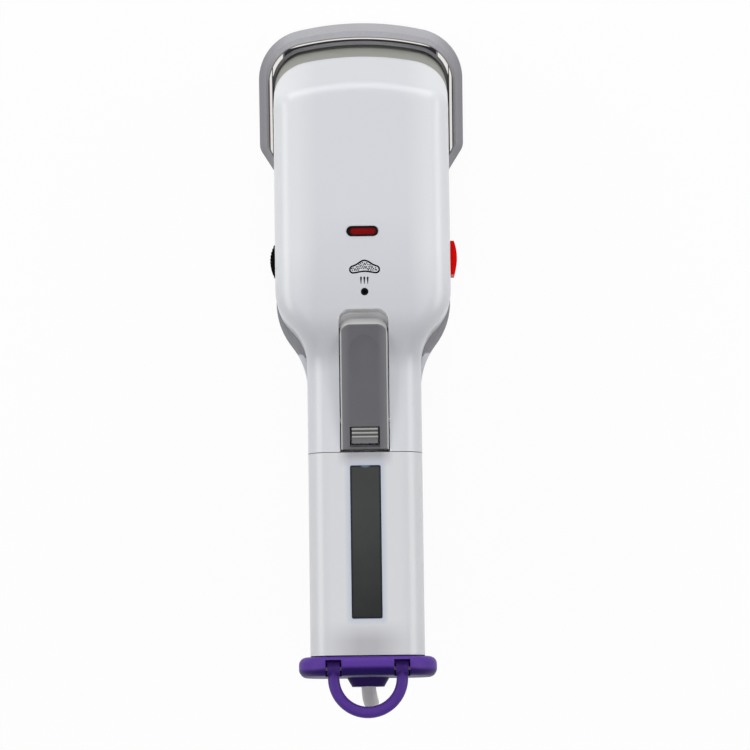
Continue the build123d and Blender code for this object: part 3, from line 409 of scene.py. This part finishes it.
bezelLook = {
    "nose": (164, 164, 169),
    # painted shade: the two straight sides, darker than the nose
    "side": (133, 132, 137),
    "from": (0.034, 0.0455),           # across
    "spread": 0.07,
    "sparkle": 2600,
    "rough": (0.42, 0.52),
    "roughScale": 160,
    "grain": (3200, 4, 0.6, 0.00001),  # scale, detail, strength and depth
}
flangeLook = {
    # painted light on the collar, painted shade on the end, and the deepest painted shade above the gland
    "light": (86, 54, 146),
    "end": (42, 18, 88),
    "dark": (28, 8, 76),
    "from": (-0.0980, -0.0966),        # along, where the end's painted shade turns into the collar's painted light
    "middleShift": 0.0010,             # by which it lies nearer the tank above the gland
    "middle": (0.009, 0.026),          # across, where the darkest painted shade above the gland fades
    "spread": 0.08,
    "patch": 60,
    "rough": (0.4, 0.5),
    "roughScale": 160,
    "grain": (600, 4, 0.6, 0.00001),
}
trimLook = {
    "half": 0.0423,                    # from the middle to the sides' outer edge
    "top": 0.1056,                     # along, the nose's outer edge
    "crown": 0.130,                    # and its radius
    # painted reflections: a bright line, and dark for the rest of the chrome
    "brightReflection": (232, 229, 224),
    "dark": (44, 42, 44),
    "line": (0.0002, 0.0013),          # depth from the outer edge, where the sides carry the painted bright reflection
    "noseLine": 0.0006,                # and how far in the nose is
    "soft": 0.0001,
    "noseEnd": (0.0352, 0.0354),       # across
    "sideTop": (0.088, 0.0886),        # along, where the straight side ends and the corner's painted bright reflection starts
    "darkBandsAt": (0.0356, 0.0407),         # across, where two dark painted bands break the corner's painted bright reflection
    "darkBandWidth": (0.0001, 0.0003),
    "rough": 0.12,
    "wander": (400, 0.1),              # the scale and amount of its drift
    "grain": (900, 3, 0.3, 0.000002),
}


def makeBezelGrey(look):
    # metallic grey paint with a fine sparkle, and painted shade that makes the two straight sides darker
    finish = Finish("bezelGrey", Metallic=0.25)
    across = inHousing(finish)[0].size()
    sparkle = finish.noise(look["sparkle"], 2).ramp(*noiseSpan)
    nose, side = (finish.drift(sparkle, look[key], look["spread"]) for key in ("nose", "side"))
    # painted shade darkens the two straight sides
    finish.set(Base_Color=finish.mix(across.ramp(*look["from"]), nose, side))
    finish.surface(look)
    return finish


def makeFlangePurple(look):
    # painted light on a lighter collar against the tank and painted shade on a deeper end; above the gland
    # the end's painted shade is darkest, and the collar starts nearer the tank
    finish = Finish("flangePurple", Specular_IOR_Level=0.12)
    x, along = inHousing(finish)[:2]
    middle = 1 - x.size().ramp(*look["middle"])
    collar = (along - middle * look["middleShift"]).ramp(*look["from"])
    # painted shade on the end, darkest above the gland; painted light on the collar
    end = finish.mix(middle, linear(look["end"]), linear(look["dark"]))
    light = finish.drift(finish.noise(look["patch"], 3), look["light"], look["spread"])
    finish.set(Base_Color=finish.mix(collar, end, light))
    finish.surface(look)
    return finish


def makeTrimChrome(look):
    # depth from the outer edge, the less of the way to a side and the way to the nose's arc, places a painted
    # bright reflection: inside the edge along the sides, on the edge along the nose, and over the corners but
    # for two dark painted bands; the rest of the chrome is painted dark as reflection
    finish = Finish("trimChrome", Metallic=1.0)
    x, y = finish.axes()[:2]
    along = y + middleY
    fromCrown = along - (look["top"] - look["crown"])
    across, soft = x.size(), look["soft"]
    depth = (look["half"] - across).calc("MINIMUM", look["crown"] - distance(x, fromCrown))
    start, end = look["line"]
    sides = depth.ramp(start - soft, start + soft) * (1 - depth.ramp(end - soft, end + soft))
    nose = 1 - depth.ramp(look["noseLine"] - soft, look["noseLine"] + soft)
    outer = across.ramp(*look["noseEnd"])
    corner = outer * along.ramp(*look["sideTop"])
    darkBands = [(across - darkAt).size().ramp(*look["darkBandWidth"]) for darkAt in look["darkBandsAt"]]
    brightReflection = nose + (sides - nose) * outer
    brightReflection = brightReflection + (darkBands[0] * darkBands[1] - brightReflection) * corner
    # painted reflections: bright on the line, dark elsewhere
    finish.set(Base_Color=finish.mix(brightReflection, linear(look["dark"]), linear(look["brightReflection"])))
    scale, amount = look["wander"]
    finish.set(Roughness=look["rough"] + finish.noise(scale, 3) * amount)
    finish.grain(*look["grain"])
    return finish


finishes["bezelGrey"] = makeBezelGrey(bezelLook)
finishes["flangePurple"] = makeFlangePurple(flangeLook)
finishes["trimChrome"] = makeTrimChrome(trimLook)


leverAxes = {"start": (0.0008, 0.0689), "slope": 6.4}    # along and up, in the housing, where its top begins
leverLook = {
    "colour": (88, 87, 92),
    "spread": 0.06,
    "patch": 70,
    # painted light on the rounded flanks
    "flankLight": (106, 106, 110),
    "flankLightFrom": (0.0062, 0.0098),     # across
    "edge": (190, 190, 190),           # painted highlight on the rim that catches the light
    "rimGlintFrom": (0.0099, 0.0102),
    "rimGlintTop": (-0.0007, -0.0005),     # height
    "rimGlintShare": 0.85,
    "band": (201, 200, 199),           # painted light on the slanted free end
    "endLightCorner": (0.0104, 0.0561, 0.0045),  # half width, end and corner radius of the grey top inside it
    "endLightEdge": 0.0003,
    "endLightFrom": (0.0505, 0.0520),      # along the lever
    "rough": (0.36, 0.46),
    "roughScale": 200,
    "grain": (1200, 3, 0.5, 0.00001),
}
lockLook = {
    "colour": (104, 104, 106),
    "spread": 0.06,
    "patch": 90,
    # painted light on the ridges' tops and painted shade in the furrows between them
    "ridgeLight": (160, 160, 157),
    "furrowShade": (70, 70, 72),
    # painted shadow under the button
    "pitShadow": (8, 8, 8),
    "ridgesFrom": (0.0051, 0.0053),    # along the lever
    "ridgeTop": (-0.0003, 0.0001),     # height
    "pitShadowTop": (-0.0014, -0.0009),
    "rough": (0.34, 0.44),
    "roughScale": 240,
    "grain": (1200, 3, 0.5, 0.00001),
}


def inLever(finish):
    # housing axes turned by the lever's slope: across, along the lever, and height above its top
    x, along, up = inHousing(finish)
    start, level = leverAxes["start"]
    slope = np.radians(leverAxes["slope"])
    y, z = along - start, up - level
    return x, y * np.cos(slope) + z * np.sin(slope), z * np.cos(slope) - y * np.sin(slope)


def makeTriggerGrey(look):
    # matt grey, with painted light along the rounded edges and on the slanted free end
    finish = Finish("triggerGrey", Specular_IOR_Level=0.4)
    x, run, height = inLever(finish)
    across = x.size()
    grey = finish.drift(finish.noise(look["patch"], 3), look["colour"], look["spread"])
    # painted light on the rounded flanks
    grey = finish.cover(across.ramp(*look["flankLightFrom"]), grey, look["flankLight"])
    # painted highlight on the rim
    edge = across.ramp(*look["rimGlintFrom"]) * height.ramp(*look["rimGlintTop"]) * look["rimGlintShare"]
    grey = finish.cover(edge, grey, look["edge"])
    # painted light on the slanted free end
    band = beyondCorner(x, run, look["endLightCorner"]).ramp(0, look["endLightEdge"]) * run.ramp(*look["endLightFrom"])
    finish.set(Base_Color=finish.cover(band, grey, look["band"]))
    finish.surface(look)
    return finish


def makeLockGrey(look):
    # painted light on the ridges' tops and painted shade between, a plain grey slope below them, and a black
    # painted shadow under the button
    finish = Finish("lockGrey", Specular_IOR_Level=0.4)
    run, height = inLever(finish)[1:]
    # painted light on the ridges' tops, painted shade in the furrows
    ribbed = finish.mix(height.ramp(*look["ridgeTop"]), linear(look["furrowShade"]), linear(look["ridgeLight"]))
    plain = finish.drift(finish.noise(look["patch"], 3), look["colour"], look["spread"])
    colour = finish.mix(run.ramp(*look["ridgesFrom"]), plain, ribbed)
    # painted shadow under the button
    finish.set(Base_Color=finish.cover(1 - height.ramp(*look["pitShadowTop"]), colour, look["pitShadow"]))
    finish.surface(look)
    return finish


finishes["triggerGrey"] = makeTriggerGrey(leverLook)
finishes["lockGrey"] = makeLockGrey(lockLook)


windowLook = {
    "half": 0.0069,
    "start": -0.0061,                  # along
    "end": -0.0748,
    "upper": (61, 63, 62),
    "lower": (31, 32, 32),
    "upperFrom": -0.03,
    "wander": 0.15,                    # the noise's share in the pane's tone
    "edge": (12, 16, 30),
    "edgeWide": (0.0002, 0.0011),
    "drop": (96, 118, 134),            # a small light-blue cap at the top of the pane
    "dropHalf": (0.0026, 0.0012),
    "dropFade": (0.55, 1.0),           # shares of its half width and height
    "dropWander": 0.45,                # the noise's share in how clearly it shows
    "patch": 90,
    "grain": (260, 2, 0.3, 0.00003),
}
tankLook = {
    "white": (210, 211, 214),
    "top": (0.0655, 0.0675),           # up, where the tank's flat top begins
    "halo": (176, 184, 202),           # painted shade: a bluish halo round the pane, fading into the white tank
    "haloReach": 0.0028,
    "haloShare": 0.8,
    "shade": (141, 141, 148),          # painted shade, greyer below the lever
    "shadeAcross": 0.006,
    "shadeAlong": (-0.0071, -0.002),
    "shadeShare": 0.75,
    "foot": (166, 166, 171),           # painted shade, greyer above the flange
    "footShadeFrom": (-0.0755, -0.0845),
    "footShadeAcross": (0.004, 0.020),
    "footShadeLeft": 0.1,                   # what is left of it at the sides
    "footShadeShare": 0.85,
}


def makeWindowSmoke(look):
    # smoked plastic: darker and bluer in a thin line at the pane's edge, with a small bright cap at the top,
    # where the point's distance, measured in half widths and half heights, is below 1
    finish = Finish("windowSmoke", Roughness=0.16, Specular_IOR_Level=0.2)
    x, along = inHousing(finish)[:2]
    side = look["half"] - x.size()
    near = side.calc("MINIMUM", look["start"] - along).calc("MINIMUM", along - look["end"])
    wander, restless = look["wander"], look["dropWander"]
    noise = finish.noise(look["patch"], 3).ramp(*noiseSpan)
    share = along.ramp(look["end"], look["upperFrom"]) * (1 - wander) + noise * wander
    pane = finish.mix(share, linear(look["lower"]), linear(look["upper"]))
    pane = finish.cover(1 - near.ramp(*look["edgeWide"]), pane, look["edge"])
    wide, tall = look["dropHalf"]
    cap = 1 - distance(x / wide, (along - look["start"]) / tall).ramp(*look["dropFade"])
    finish.set(Base_Color=finish.cover(cap * (1 - restless + noise * restless), pane, look["drop"]))
    finish.grain(*look["grain"])
    return finish


def makeTankWhite(look, window):
    # white moulding with painted shade: greyer above the window and below it, and a bluish halo that fades
    # with the distance from the window
    finish, white = startSatin("tankWhite", look["white"])
    x, along, up = inHousing(finish)
    aside = (x.size() - window["half"]).calc("MAXIMUM", 0)
    past = (along - window["start"]).calc("MAXIMUM", window["end"] - along).calc("MAXIMUM", 0)
    top = up.ramp(*look["top"])
    # painted shade: a bluish halo round the pane
    halo = (1 - distance(aside, past).ramp(0.0, look["haloReach"])) * top * look["haloShare"]
    # painted shade below the lever
    shade = (1 - aside.ramp(0.0, look["shadeAcross"])) * along.ramp(*look["shadeAlong"]) * top
    white = finish.cover(shade * look["shadeShare"], white, look["shade"])
    # painted shade above the flange
    high, low = look["footShadeFrom"]
    thinner = 1 - x.size().ramp(*look["footShadeAcross"]) * (1 - look["footShadeLeft"])
    foot = (1 - along.ramp(low, high)) * thinner * look["footShadeShare"]
    white = finish.cover(foot, white, look["foot"])
    finish.set(Base_Color=finish.cover(halo, white, look["halo"]))
    return finish


finishes["windowSmoke"] = makeWindowSmoke(windowLook)
finishes["tankWhite"] = makeTankWhite(tankLook, windowLook)


lampLook = {
    "middle": (0.0003, 0.09822),       # across and along, where the glow is centred
    "half": 0.0043,
    "fade": (0.0009, 0.0017),          # from the middle line, where the glow starts and ends to darken
    "glow": (122, 0, 3),
    "spread": 0.2,
    "patch": 380,
    "rim": (9, 0, 2),
    "ribs": 9000,                      # radians per metre
    "ribDepth": 0.00004,
}


def makeLensRed(look):
    # distance from the pill's middle line: red inside, almost black towards the wall, with faint ribs across
    finish = Finish("lensRed", Roughness=0.22, Specular_IOR_Level=0.1)
    x, along = inHousing(finish)[:2]
    middle, level = look["middle"]
    past = ((x - middle).size() - look["half"]).calc("MAXIMUM", 0)
    dark = distance(past, along - level).ramp(*look["fade"])
    red = finish.drift(finish.noise(look["patch"], 3), look["glow"], look["spread"])
    finish.set(Base_Color=finish.cover(dark, red, look["rim"]))
    finish.bump((x * look["ribs"]).calc("SINE"), 0.35, look["ribDepth"])
    return finish


finishes["lensRed"] = makeLensRed(lampLook)
print("finishes made")


cord = {
    "diameter": 0.0066,
    "length": 1.62,
    "exit": (0.0, -0.14519, 0.07448),      # the gland's tip
    "inGland": (0.005, 26.0),              # how far in it starts, and the gland's slope
    "hanging": [(0.0003, -0.0064, 0.07138), (0.0017, -0.0106, 0.06098), (0.0010, -0.0107, 0.04748),
                (0.0, -0.0086, 0.0300), (-0.0020, 0.0010, 0.0135), (-0.0065, 0.0175, 0.0048),
                (-0.0130, 0.0355, 0.0044), (-0.0175, 0.0550, 0.0044)],   # across, along from the tip, height
    "rest": 0.0044,                        # height of a lap that lies on the tie
    "lapMiddle": (0.0, -0.04938),
    "lapHalf": (0.0208, 0.0577),           # outer lap's centre line, half its width and half its length
    "perLap": 20,
    "turns": 5.4,
    "enter": 0.06,                         # where on the lap the cord joins, as a share of it
    "shift": 0.2,                          # share of a lap over which it moves to the next one
    "inner": (0, 1, 1, 0, 0, 1, 1),        # by lap, 1 where it lies inside the outer one
    "layer": (0, 0, 1, 1, 2, 2, 2),
    "tail": [(0.0142, -0.00888, 0.0), (0.0140, -0.02238, 0.0), (0.0129, -0.03438, 0.0034),
             (0.0112, -0.04588, 0.0089)],                 # across, along, height over the top layer
    "inPlug": [(0, 0.0435), (0.00025, 0.032), (0, 0.0195)],   # across and along the plug
    "plugMiddle": (0.0, -0.09938, 0.0299),
    "plugTurn": 12.0,
}


def alongPlug(x, y):
    # a point given across and along the plug, at its middle's height
    turn = np.radians(cord["plugTurn"])
    cx, cy, cz = cord["plugMiddle"]
    return cx + x * np.cos(turn) + y * np.sin(turn), cy - x * np.sin(turn) + y * np.cos(turn), cz


def stadium(halfWidth, halfLength, s):
    # a point at the fraction s of a stadium's length: straight up the left side, half circle, down the right
    # side, half circle
    straight, bend = 2 * (halfLength - halfWidth), np.pi * halfWidth
    run = s % 1.0 * 2 * (straight + bend)
    back = run >= straight + bend
    run = np.where(back, run - straight - bend, run)
    angle = np.clip((run - straight) / halfWidth, 0, np.pi)
    sign = np.where(back, -1.0, 1.0)
    x = -halfWidth * np.cos(angle)
    y = np.minimum(run, straight) - straight / 2 + halfWidth * np.sin(angle)
    return sign * x, sign * y


def hankLaps():
    # laps at even fractions of a turn; over the last part of each lap its width, length and height blend
    # smoothly into the next lap's, so that the whole hank is one unbroken line
    inset = np.array(cord["inner"], float) * cord["diameter"]
    height = cord["rest"] + np.array(cord["layer"], float) * cord["diameter"]
    turn = cord["enter"] + np.arange(int(cord["turns"] * cord["perLap"]) + 1) / cord["perLap"]
    lap = np.floor(turn - cord["enter"]).astype(int)
    nextLap = np.minimum(lap + 1, len(inset) - 1)
    share = np.clip((turn - cord["enter"] - lap - 1 + cord["shift"]) / cord["shift"], 0, 1)
    share = share**2 * (3 - 2 * share)
    inset, height = (values[lap] * (1 - share) + values[nextLap] * share for values in (inset, height))
    halfWidth, halfLength = cord["lapHalf"]
    x, y = stadium(halfWidth - inset, halfLength - inset, turn)
    return np.stack([cord["lapMiddle"][0] + x, cord["lapMiddle"][1] + y, height], axis=-1)


def cordRoute():
    # the hanging stretch, the hank's laps from the lowest layer up, then the tail to the plug
    x0, tipY, tipZ = cord["exit"]
    depth, slope = cord["inGland"][0], np.radians(cord["inGland"][1])
    hanging = [(x0, tipY + depth * np.cos(slope), tipZ + depth * np.sin(slope))]
    hanging += [(x, tipY + y, z) for x, y, z in cord["hanging"]]
    top = cord["rest"] + max(cord["layer"]) * cord["diameter"]
    tail = [(x, y, top + z) for x, y, z in cord["tail"]]
    tail += [alongPlug(x, y) for x, y in cord["inPlug"]]
    return np.concatenate([hanging, hankLaps(), tail])


def makeCord():
    # the route's points are the control points of one smooth spline, which carries a round section
    data = bpy.data.curves.new("flex", "CURVE")
    data.dimensions = "3D"
    data.bevel_depth = cord["diameter"] / 2
    data.bevel_resolution = 5
    data.resolution_u = 10
    data.use_fill_caps = True
    spline = data.splines.new("NURBS")
    points = cordRoute()
    spline.points.add(len(points) - 1)
    spline.points.foreach_set("co", np.column_stack([points, np.ones(len(points))]).ravel())
    spline.order_u = 3
    spline.use_endpoint_u = True
    data.materials.append(finishes["cordGrey"].material)
    flex = bpy.data.objects.new("flex", data)
    bpy.context.scene.collection.objects.link(flex)
    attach(flex, "housing")
    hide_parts("cord_tube", "cord_tail", "cord_hank")


makeCord()
print("cord laid")


spring = {
    "along": 0.040,
    "from": 0.0497,                    # up, in the housing, the wire's middle at the fixed end
    "to": 0.0682,
    "radius": 0.0035,
    "wire": 0.0005,
    "turns": 5,
    "perTurn": 28,
    "sides": 10,
}


def makeSpring():
    # at each step of a helix, a circle of points spanned by the radial line and the line square to it and to
    # the helix's run
    radius, sides = spring["radius"], spring["sides"]
    low, high = spring["from"], spring["to"]
    count = spring["turns"] * spring["perTurn"] + 1
    angle = np.linspace(0, 2 * np.pi * spring["turns"], count)
    cosine, sine, flat = np.cos(angle), np.sin(angle), np.zeros(count)
    climb = (high - low) / angle[-1]
    radial = np.stack([cosine, sine, flat], axis=-1)
    run = np.stack([-radius * sine, radius * cosine, flat + climb], axis=-1)
    square = np.cross(run / np.linalg.norm(run, axis=-1, keepdims=True), radial)
    middle = radial * radius + np.stack([flat, flat + spring["along"], low + angle * climb], axis=-1)
    around = ringPoints(sides)[None, :, :, None]
    ring = around[:, :, 0] * radial[:, None] + around[:, :, 1] * square[:, None]
    points = inRow(middle[:, None] + ring * spring["wire"]).reshape(-1, 3)
    faces = gridFaces(count, sides, closeColumns=True).tolist()
    last = (count - 1) * sides
    faces += [list(range(sides)), list(range(last, last + sides))[::-1]]
    coil = makePiece("coil", points, faces, finishes["springSteel"], None)
    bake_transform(coil)
    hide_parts("pump_spring")


makeSpring()
print("spring wound")


bySlot = {
    "shell_white": "shellWhite", "grip_grey": "gripGrey", "skirt_grey": "skirtGrey",
    "bezel_grey": "bezelGrey", "trim_chrome": "trimChrome", "plate_steel": "plateSteel",
    "heater_metal": "heaterMetal", "boiler_metal": "castMetal", "rubber_dark": "rubberDark",
    "screw_steel": "screwSteel", "brass_pin": "brass", "lens_red": "lensRed", "inner_plastic": "innerNylon",
    "trigger_grey": "triggerGrey", "pin_metal": "pinSteel", "spring_steel": "springSteel",
    "tube_silicone": "tubeSilicone", "tank_white": "tankWhite", "window_smoke": "windowSmoke",
    "flange_purple": "flangePurple", "gland_purple": "glandPurple", "rocker_red": "rockerRed",
    "black_plastic": "blackPlastic", "wire_black": "wireBlack", "cord_grey": "cordGrey",
}
byNode = {
    "front_shell": "frontWhite", "trigger_lock": "lockGrey", "hanging_loop": "loopPurple",
    "loop_pins": "loopPin", "steam_dial": "dialBlack", "plug_body": "plugBlack", "cord_tie": "rubberDark",
}


def paintNodes():
    # each node takes the finish named for it, or else the one named for its slot
    for part in frame["record"]["subparts"]:
        mesh = frame["nodes"][part["node"]].data
        material = finishes[byNode.get(part["node"], bySlot[part["material_slot"]])].material
        if len(mesh.materials) == 0:
            mesh.materials.append(material)
        for slot in range(len(mesh.materials)):
            mesh.materials[slot] = material


paintNodes()
print("nodes finished")


mark = {
    "level": 0.078,                    # the plateau's height in the housing
    "proud": 0.00004,
    "thickness": 1.5,                  # of the ink, in times how proud it lies
    "ink": 0.0007,                     # width of the cloud's outline
    "cloud": (0.0008, 0.0823),         # its middle
    "cloudHalf": (0.00695, 0.00315),
    "cloudSteps": 160,
    "strokes": (-0.00165, -0.00015, 0.00135),   # across from the cloud's middle
    "strokeMiddle": 0.07615,
    "strokeHalf": (0.00046, 0.00165),
    "strokeRows": 15,
    "strokeRound": 0.3,                # share of the half height that the round top takes
    "strokeFoot": 0.25,                # width left at the bottom
    "strokeBlunt": 0.02,               # least value under the round top's root
    "dot": (0.0007, 0.0710, 0.00168),
    "dotRings": (1.0, 0.66, 0.33),
    "dotSides": 40,
    "spotStep": 0.00092,               # spacing of the spots inside the cloud
    "spotRow": 0.87,                   # from one row of spots to the next, in steps
    "spotRadius": 0.35,
    "spotWander": 0.22,
    "spotSides": 8,
    "spotReach": (14, 7),              # steps and rows either side of the middle
    "seed": 4,
}
# In shares of the cloud's half width: where its end lobe begins, and how far its peak and its arch reach. In
# shares of its half height: its middle, the top and the peak on it, the bottom and the arch in it.
cloudShape = {"lobe": 0.74, "peakReach": 0.84, "archReach": 0.8, "middle": -0.42, "top": 0.62, "peak": 0.8,
              "low": 0.58, "arch": 0.216}


def onPlateau(flat):
    # flat (x, y) places laid just above the plateau
    flat = np.asarray(flat, float)
    height = np.full(flat.shape[:-1] + (1,), mark["level"] + mark["proud"])
    return inRow(np.concatenate([flat, height], axis=-1))


def hill(u):
    # a cosine that falls from 1 at 0 to 0 at 1
    return 0.5 * (1 + np.cos(np.pi * np.clip(u, 0, 1)))


def roundEnd(u):
    # a quarter circle: 1 up to 0, falling to 0 at 1
    return np.sqrt(np.clip(1 - np.clip(u, 0, 1) ** 2, 0, 1))


def cloudHeights(x):
    # top: a hill at the middle between round lobes at the ends; bottom: flatter, with a shallow arch
    wide, tall = mark["cloudHalf"]
    shape = cloudShape
    u = np.clip(np.abs(x) / wide, 0, 1)
    lobe = roundEnd((u - shape["lobe"]) / (1 - shape["lobe"])) * tall
    middle = shape["middle"] * tall
    top = middle + lobe * (shape["top"] + shape["peak"] * hill(u / shape["peakReach"]))
    low = middle - lobe * (shape["low"] - shape["arch"] * hill(u / shape["archReach"]))
    return top, low


def cloudLine(count):
    # the cloud's edge, out along the top from the left end and back along the bottom, evenly spaced
    wide = mark["cloudHalf"][0]
    x = -wide * np.cos(np.linspace(0, np.pi, count))
    top, low = cloudHeights(x)
    line = np.concatenate([np.column_stack([x, top]), np.column_stack([x, low])[-2:0:-1]])
    closed = np.concatenate([line, line[:1]])
    run = np.concatenate([[0], np.cumsum(np.linalg.norm(np.diff(closed, axis=0), axis=1))])
    even = np.linspace(0, run[-1], count, endpoint=False)
    return np.column_stack([np.interp(even, run, closed[:, i]) for i in (0, 1)])


def cloudSpots():
    # places on a slanted lattice, each moved a little at random, kept where they clear the outline
    step, wide = mark["spotStep"], mark["cloudHalf"][0]
    columns, rows = mark["spotReach"]
    i, j = np.meshgrid(np.arange(-columns, columns + 1), np.arange(-rows, rows + 1), indexing="ij")
    reach = mark["spotWander"]
    wander = np.random.default_rng(mark["seed"]).uniform(-reach, reach, i.shape + (2,)) * step
    spots = np.stack([(i + 0.5 * (j % 2)) * step, j * step * mark["spotRow"]], axis=-1) + wander
    x, y = spots[..., 0], spots[..., 1]
    top, low = cloudHeights(x)
    margin = mark["ink"] + step * mark["spotRadius"]
    return spots[(y < top - margin) & (y > low + margin) & (np.abs(x) < wide - margin)]


def makeCloud():
    # outline: the edge line carried inwards by the ink's width; spots: small discs
    edge = cloudLine(mark["cloudSteps"])
    along = np.roll(edge, -1, axis=0) - np.roll(edge, 1, axis=0)
    inward = np.column_stack([along[:, 1], -along[:, 0]]) / np.linalg.norm(along, axis=1)[:, None]
    outline = np.stack([edge, edge + inward * mark["ink"]])
    faces = gridFaces(2, len(edge), closeColumns=True)[:, ::-1]
    sides, radius = mark["spotSides"], mark["spotStep"] * mark["spotRadius"]
    discs = cloudSpots()[:, None] + radius * ringPoints(sides)[None]
    discFaces = len(edge) * 2 + np.arange(len(discs) * sides).reshape(-1, sides)
    points = np.concatenate([outline.reshape(-1, 2), discs.reshape(-1, 2)]) + mark["cloud"]
    makePrint("steamCloud", points, faces.tolist() + discFaces.tolist())


def makeStrokes():
    # each stroke: half width tapers from the round top to a point at the bottom
    half, tall = mark["strokeHalf"]
    rows, foot, top = mark["strokeRows"], mark["strokeFoot"], mark["strokeRound"]
    v = np.linspace(-1, 1, rows)
    cap = np.sqrt(np.clip(1 - np.clip((v - 1 + top) / top, 0, 1) ** 2, mark["strokeBlunt"], 1))
    width = half * cap * (foot + (1 - foot) * (v + 1) / 2)
    sides = np.array([-1, 1])[None, :] * width[:, None]
    x = np.array(mark["strokes"])[:, None, None] + sides[None] + mark["cloud"][0]
    y = np.broadcast_to(mark["strokeMiddle"] + tall * v[None, :, None], x.shape)
    starts = 2 * rows * np.arange(len(mark["strokes"]))[:, None, None]
    faces = (gridFaces(rows, 2)[None] + starts).reshape(-1, 4)
    makePrint("steamStrokes", np.stack([x, y], axis=-1), faces)


def makeDot():
    # a disc: rings of falling radius round a small middle face
    x, y, radius = mark["dot"]
    sides, shares = mark["dotSides"], np.array(mark["dotRings"])
    rings = (radius * shares)[:, None, None] * ringPoints(sides)[None] + np.array([x, y])
    faces = gridFaces(len(shares), sides, closeColumns=True)[:, ::-1].tolist()
    inner = (len(shares) - 1) * sides
    makePrint("steamDot", rings, faces + [list(range(inner, inner + sides))])


def makePrint(name, flat, faces):
    # flat faces given a thickness below them
    piece = makePiece(name, onPlateau(flat), faces, finishes["printBlack"], "housing")
    layer = piece.modifiers.new("ink", "SOLIDIFY")
    layer.thickness = mark["proud"] * mark["thickness"]
    layer.offset = -1


makeCloud()
makeStrokes()
makeDot()
print("steam mark printed")


studio = {
    "floorHalf": 3.0,
    "floorLevel": -0.0002,
    "floorColour": (243, 243, 243),
    "floorShow": 0.94,                 # how much of the floor's look, seen directly, is plain white
    "worldShow": 1.0,                  # the world's strength seen directly
    "worldFill": 0.12,                 # and as light on the object
    "lamps": {
        "noseLamp": {"at": (0.0, 1.5, 0.5), "size": (1.6, 0.9), "power": 12.0, "mirrored": True},
        "topLamp": {"at": (0.0, -0.1, 1.7), "size": (0.8, 0.8), "power": 8.4, "mirrored": False},
        "leftLamp": {"at": (-1.3, 0.1, 0.8), "size": (1.3, 0.8), "power": 10.0, "mirrored": True},
        "rightLamp": {"at": (1.3, 0.1, 0.8), "size": (1.3, 0.8), "power": 9.4, "mirrored": True},
    },
}


def seenDirectly(tree):
    # 1 for rays from the camera, from a reflection or through something clear
    path = tree.nodes.new("ShaderNodeLightPath")
    camera, glossy, clear = (Wire(tree, path.outputs[name]) for name in
                             ("Is Camera Ray", "Is Glossy Ray", "Is Transmission Ray"))
    return camera.calc("MAXIMUM", glossy).calc("MAXIMUM", clear)


def makeFloor():
    # a square that shows as white where it is seen directly, but for a share that keeps the shadow
    half, level = studio["floorHalf"], studio["floorLevel"]
    mesh = bpy.data.meshes.new("floor")
    corners = [(-half, -half, level), (half, -half, level), (half, half, level), (-half, half, level)]
    mesh.from_pydata(corners, [], [(0, 1, 2, 3)])
    floor = bpy.data.objects.new("floor", mesh)
    bpy.context.scene.collection.objects.link(floor)
    finish = Finish("floorWhite", Base_Color=linear(studio["floorColour"]), Roughness=0.9,
                    Specular_IOR_Level=0.0)
    tree = finish.tree
    glow = finish.node("Emission", Strength=1.0)
    show = seenDirectly(tree) * studio["floorShow"]
    body = Wire(tree, finish.shader.outputs[0])
    mixed = finish.node("MixShader", i0=show, i1=body, i2=glow)
    output = next(n for n in tree.nodes if n.type == "OUTPUT_MATERIAL")
    tree.links.new(mixed.socket, output.inputs[0])
    mesh.materials.append(finish.material)


def makeWorld():
    # strength is what shows for rays that see it directly, and the fill for all others
    world = bpy.data.worlds.new("studio")
    world.use_nodes = True
    bpy.context.scene.world = world
    tree = world.node_tree
    ground = next(n for n in tree.nodes if n.type == "BACKGROUND")
    ground.inputs[0].default_value = (1, 1, 1, 1)
    fill, show = studio["worldFill"], studio["worldShow"]
    plug(tree, ground.inputs[1], seenDirectly(tree) * (show - fill) + fill)


def makeLamps():
    # each lamp is a rectangle whose back axis points away from the row's zero
    for name, look in studio["lamps"].items():
        data = bpy.data.lights.new(name, "AREA")
        data.shape = "RECTANGLE"
        data.size, data.size_y = look["size"]
        data.energy = look["power"]
        lamp = bpy.data.objects.new(name, data)
        lamp.visible_glossy = look["mirrored"]
        bpy.context.scene.collection.objects.link(lamp)
        away = Vector(look["at"])
        lamp.matrix_world = Matrix.Translation(away) @ away.to_track_quat("Z", "Y").to_matrix().to_4x4()


makeFloor()
makeWorld()
makeLamps()
bpy.context.scene.view_settings.view_transform = "Standard"
print("floor and light set")
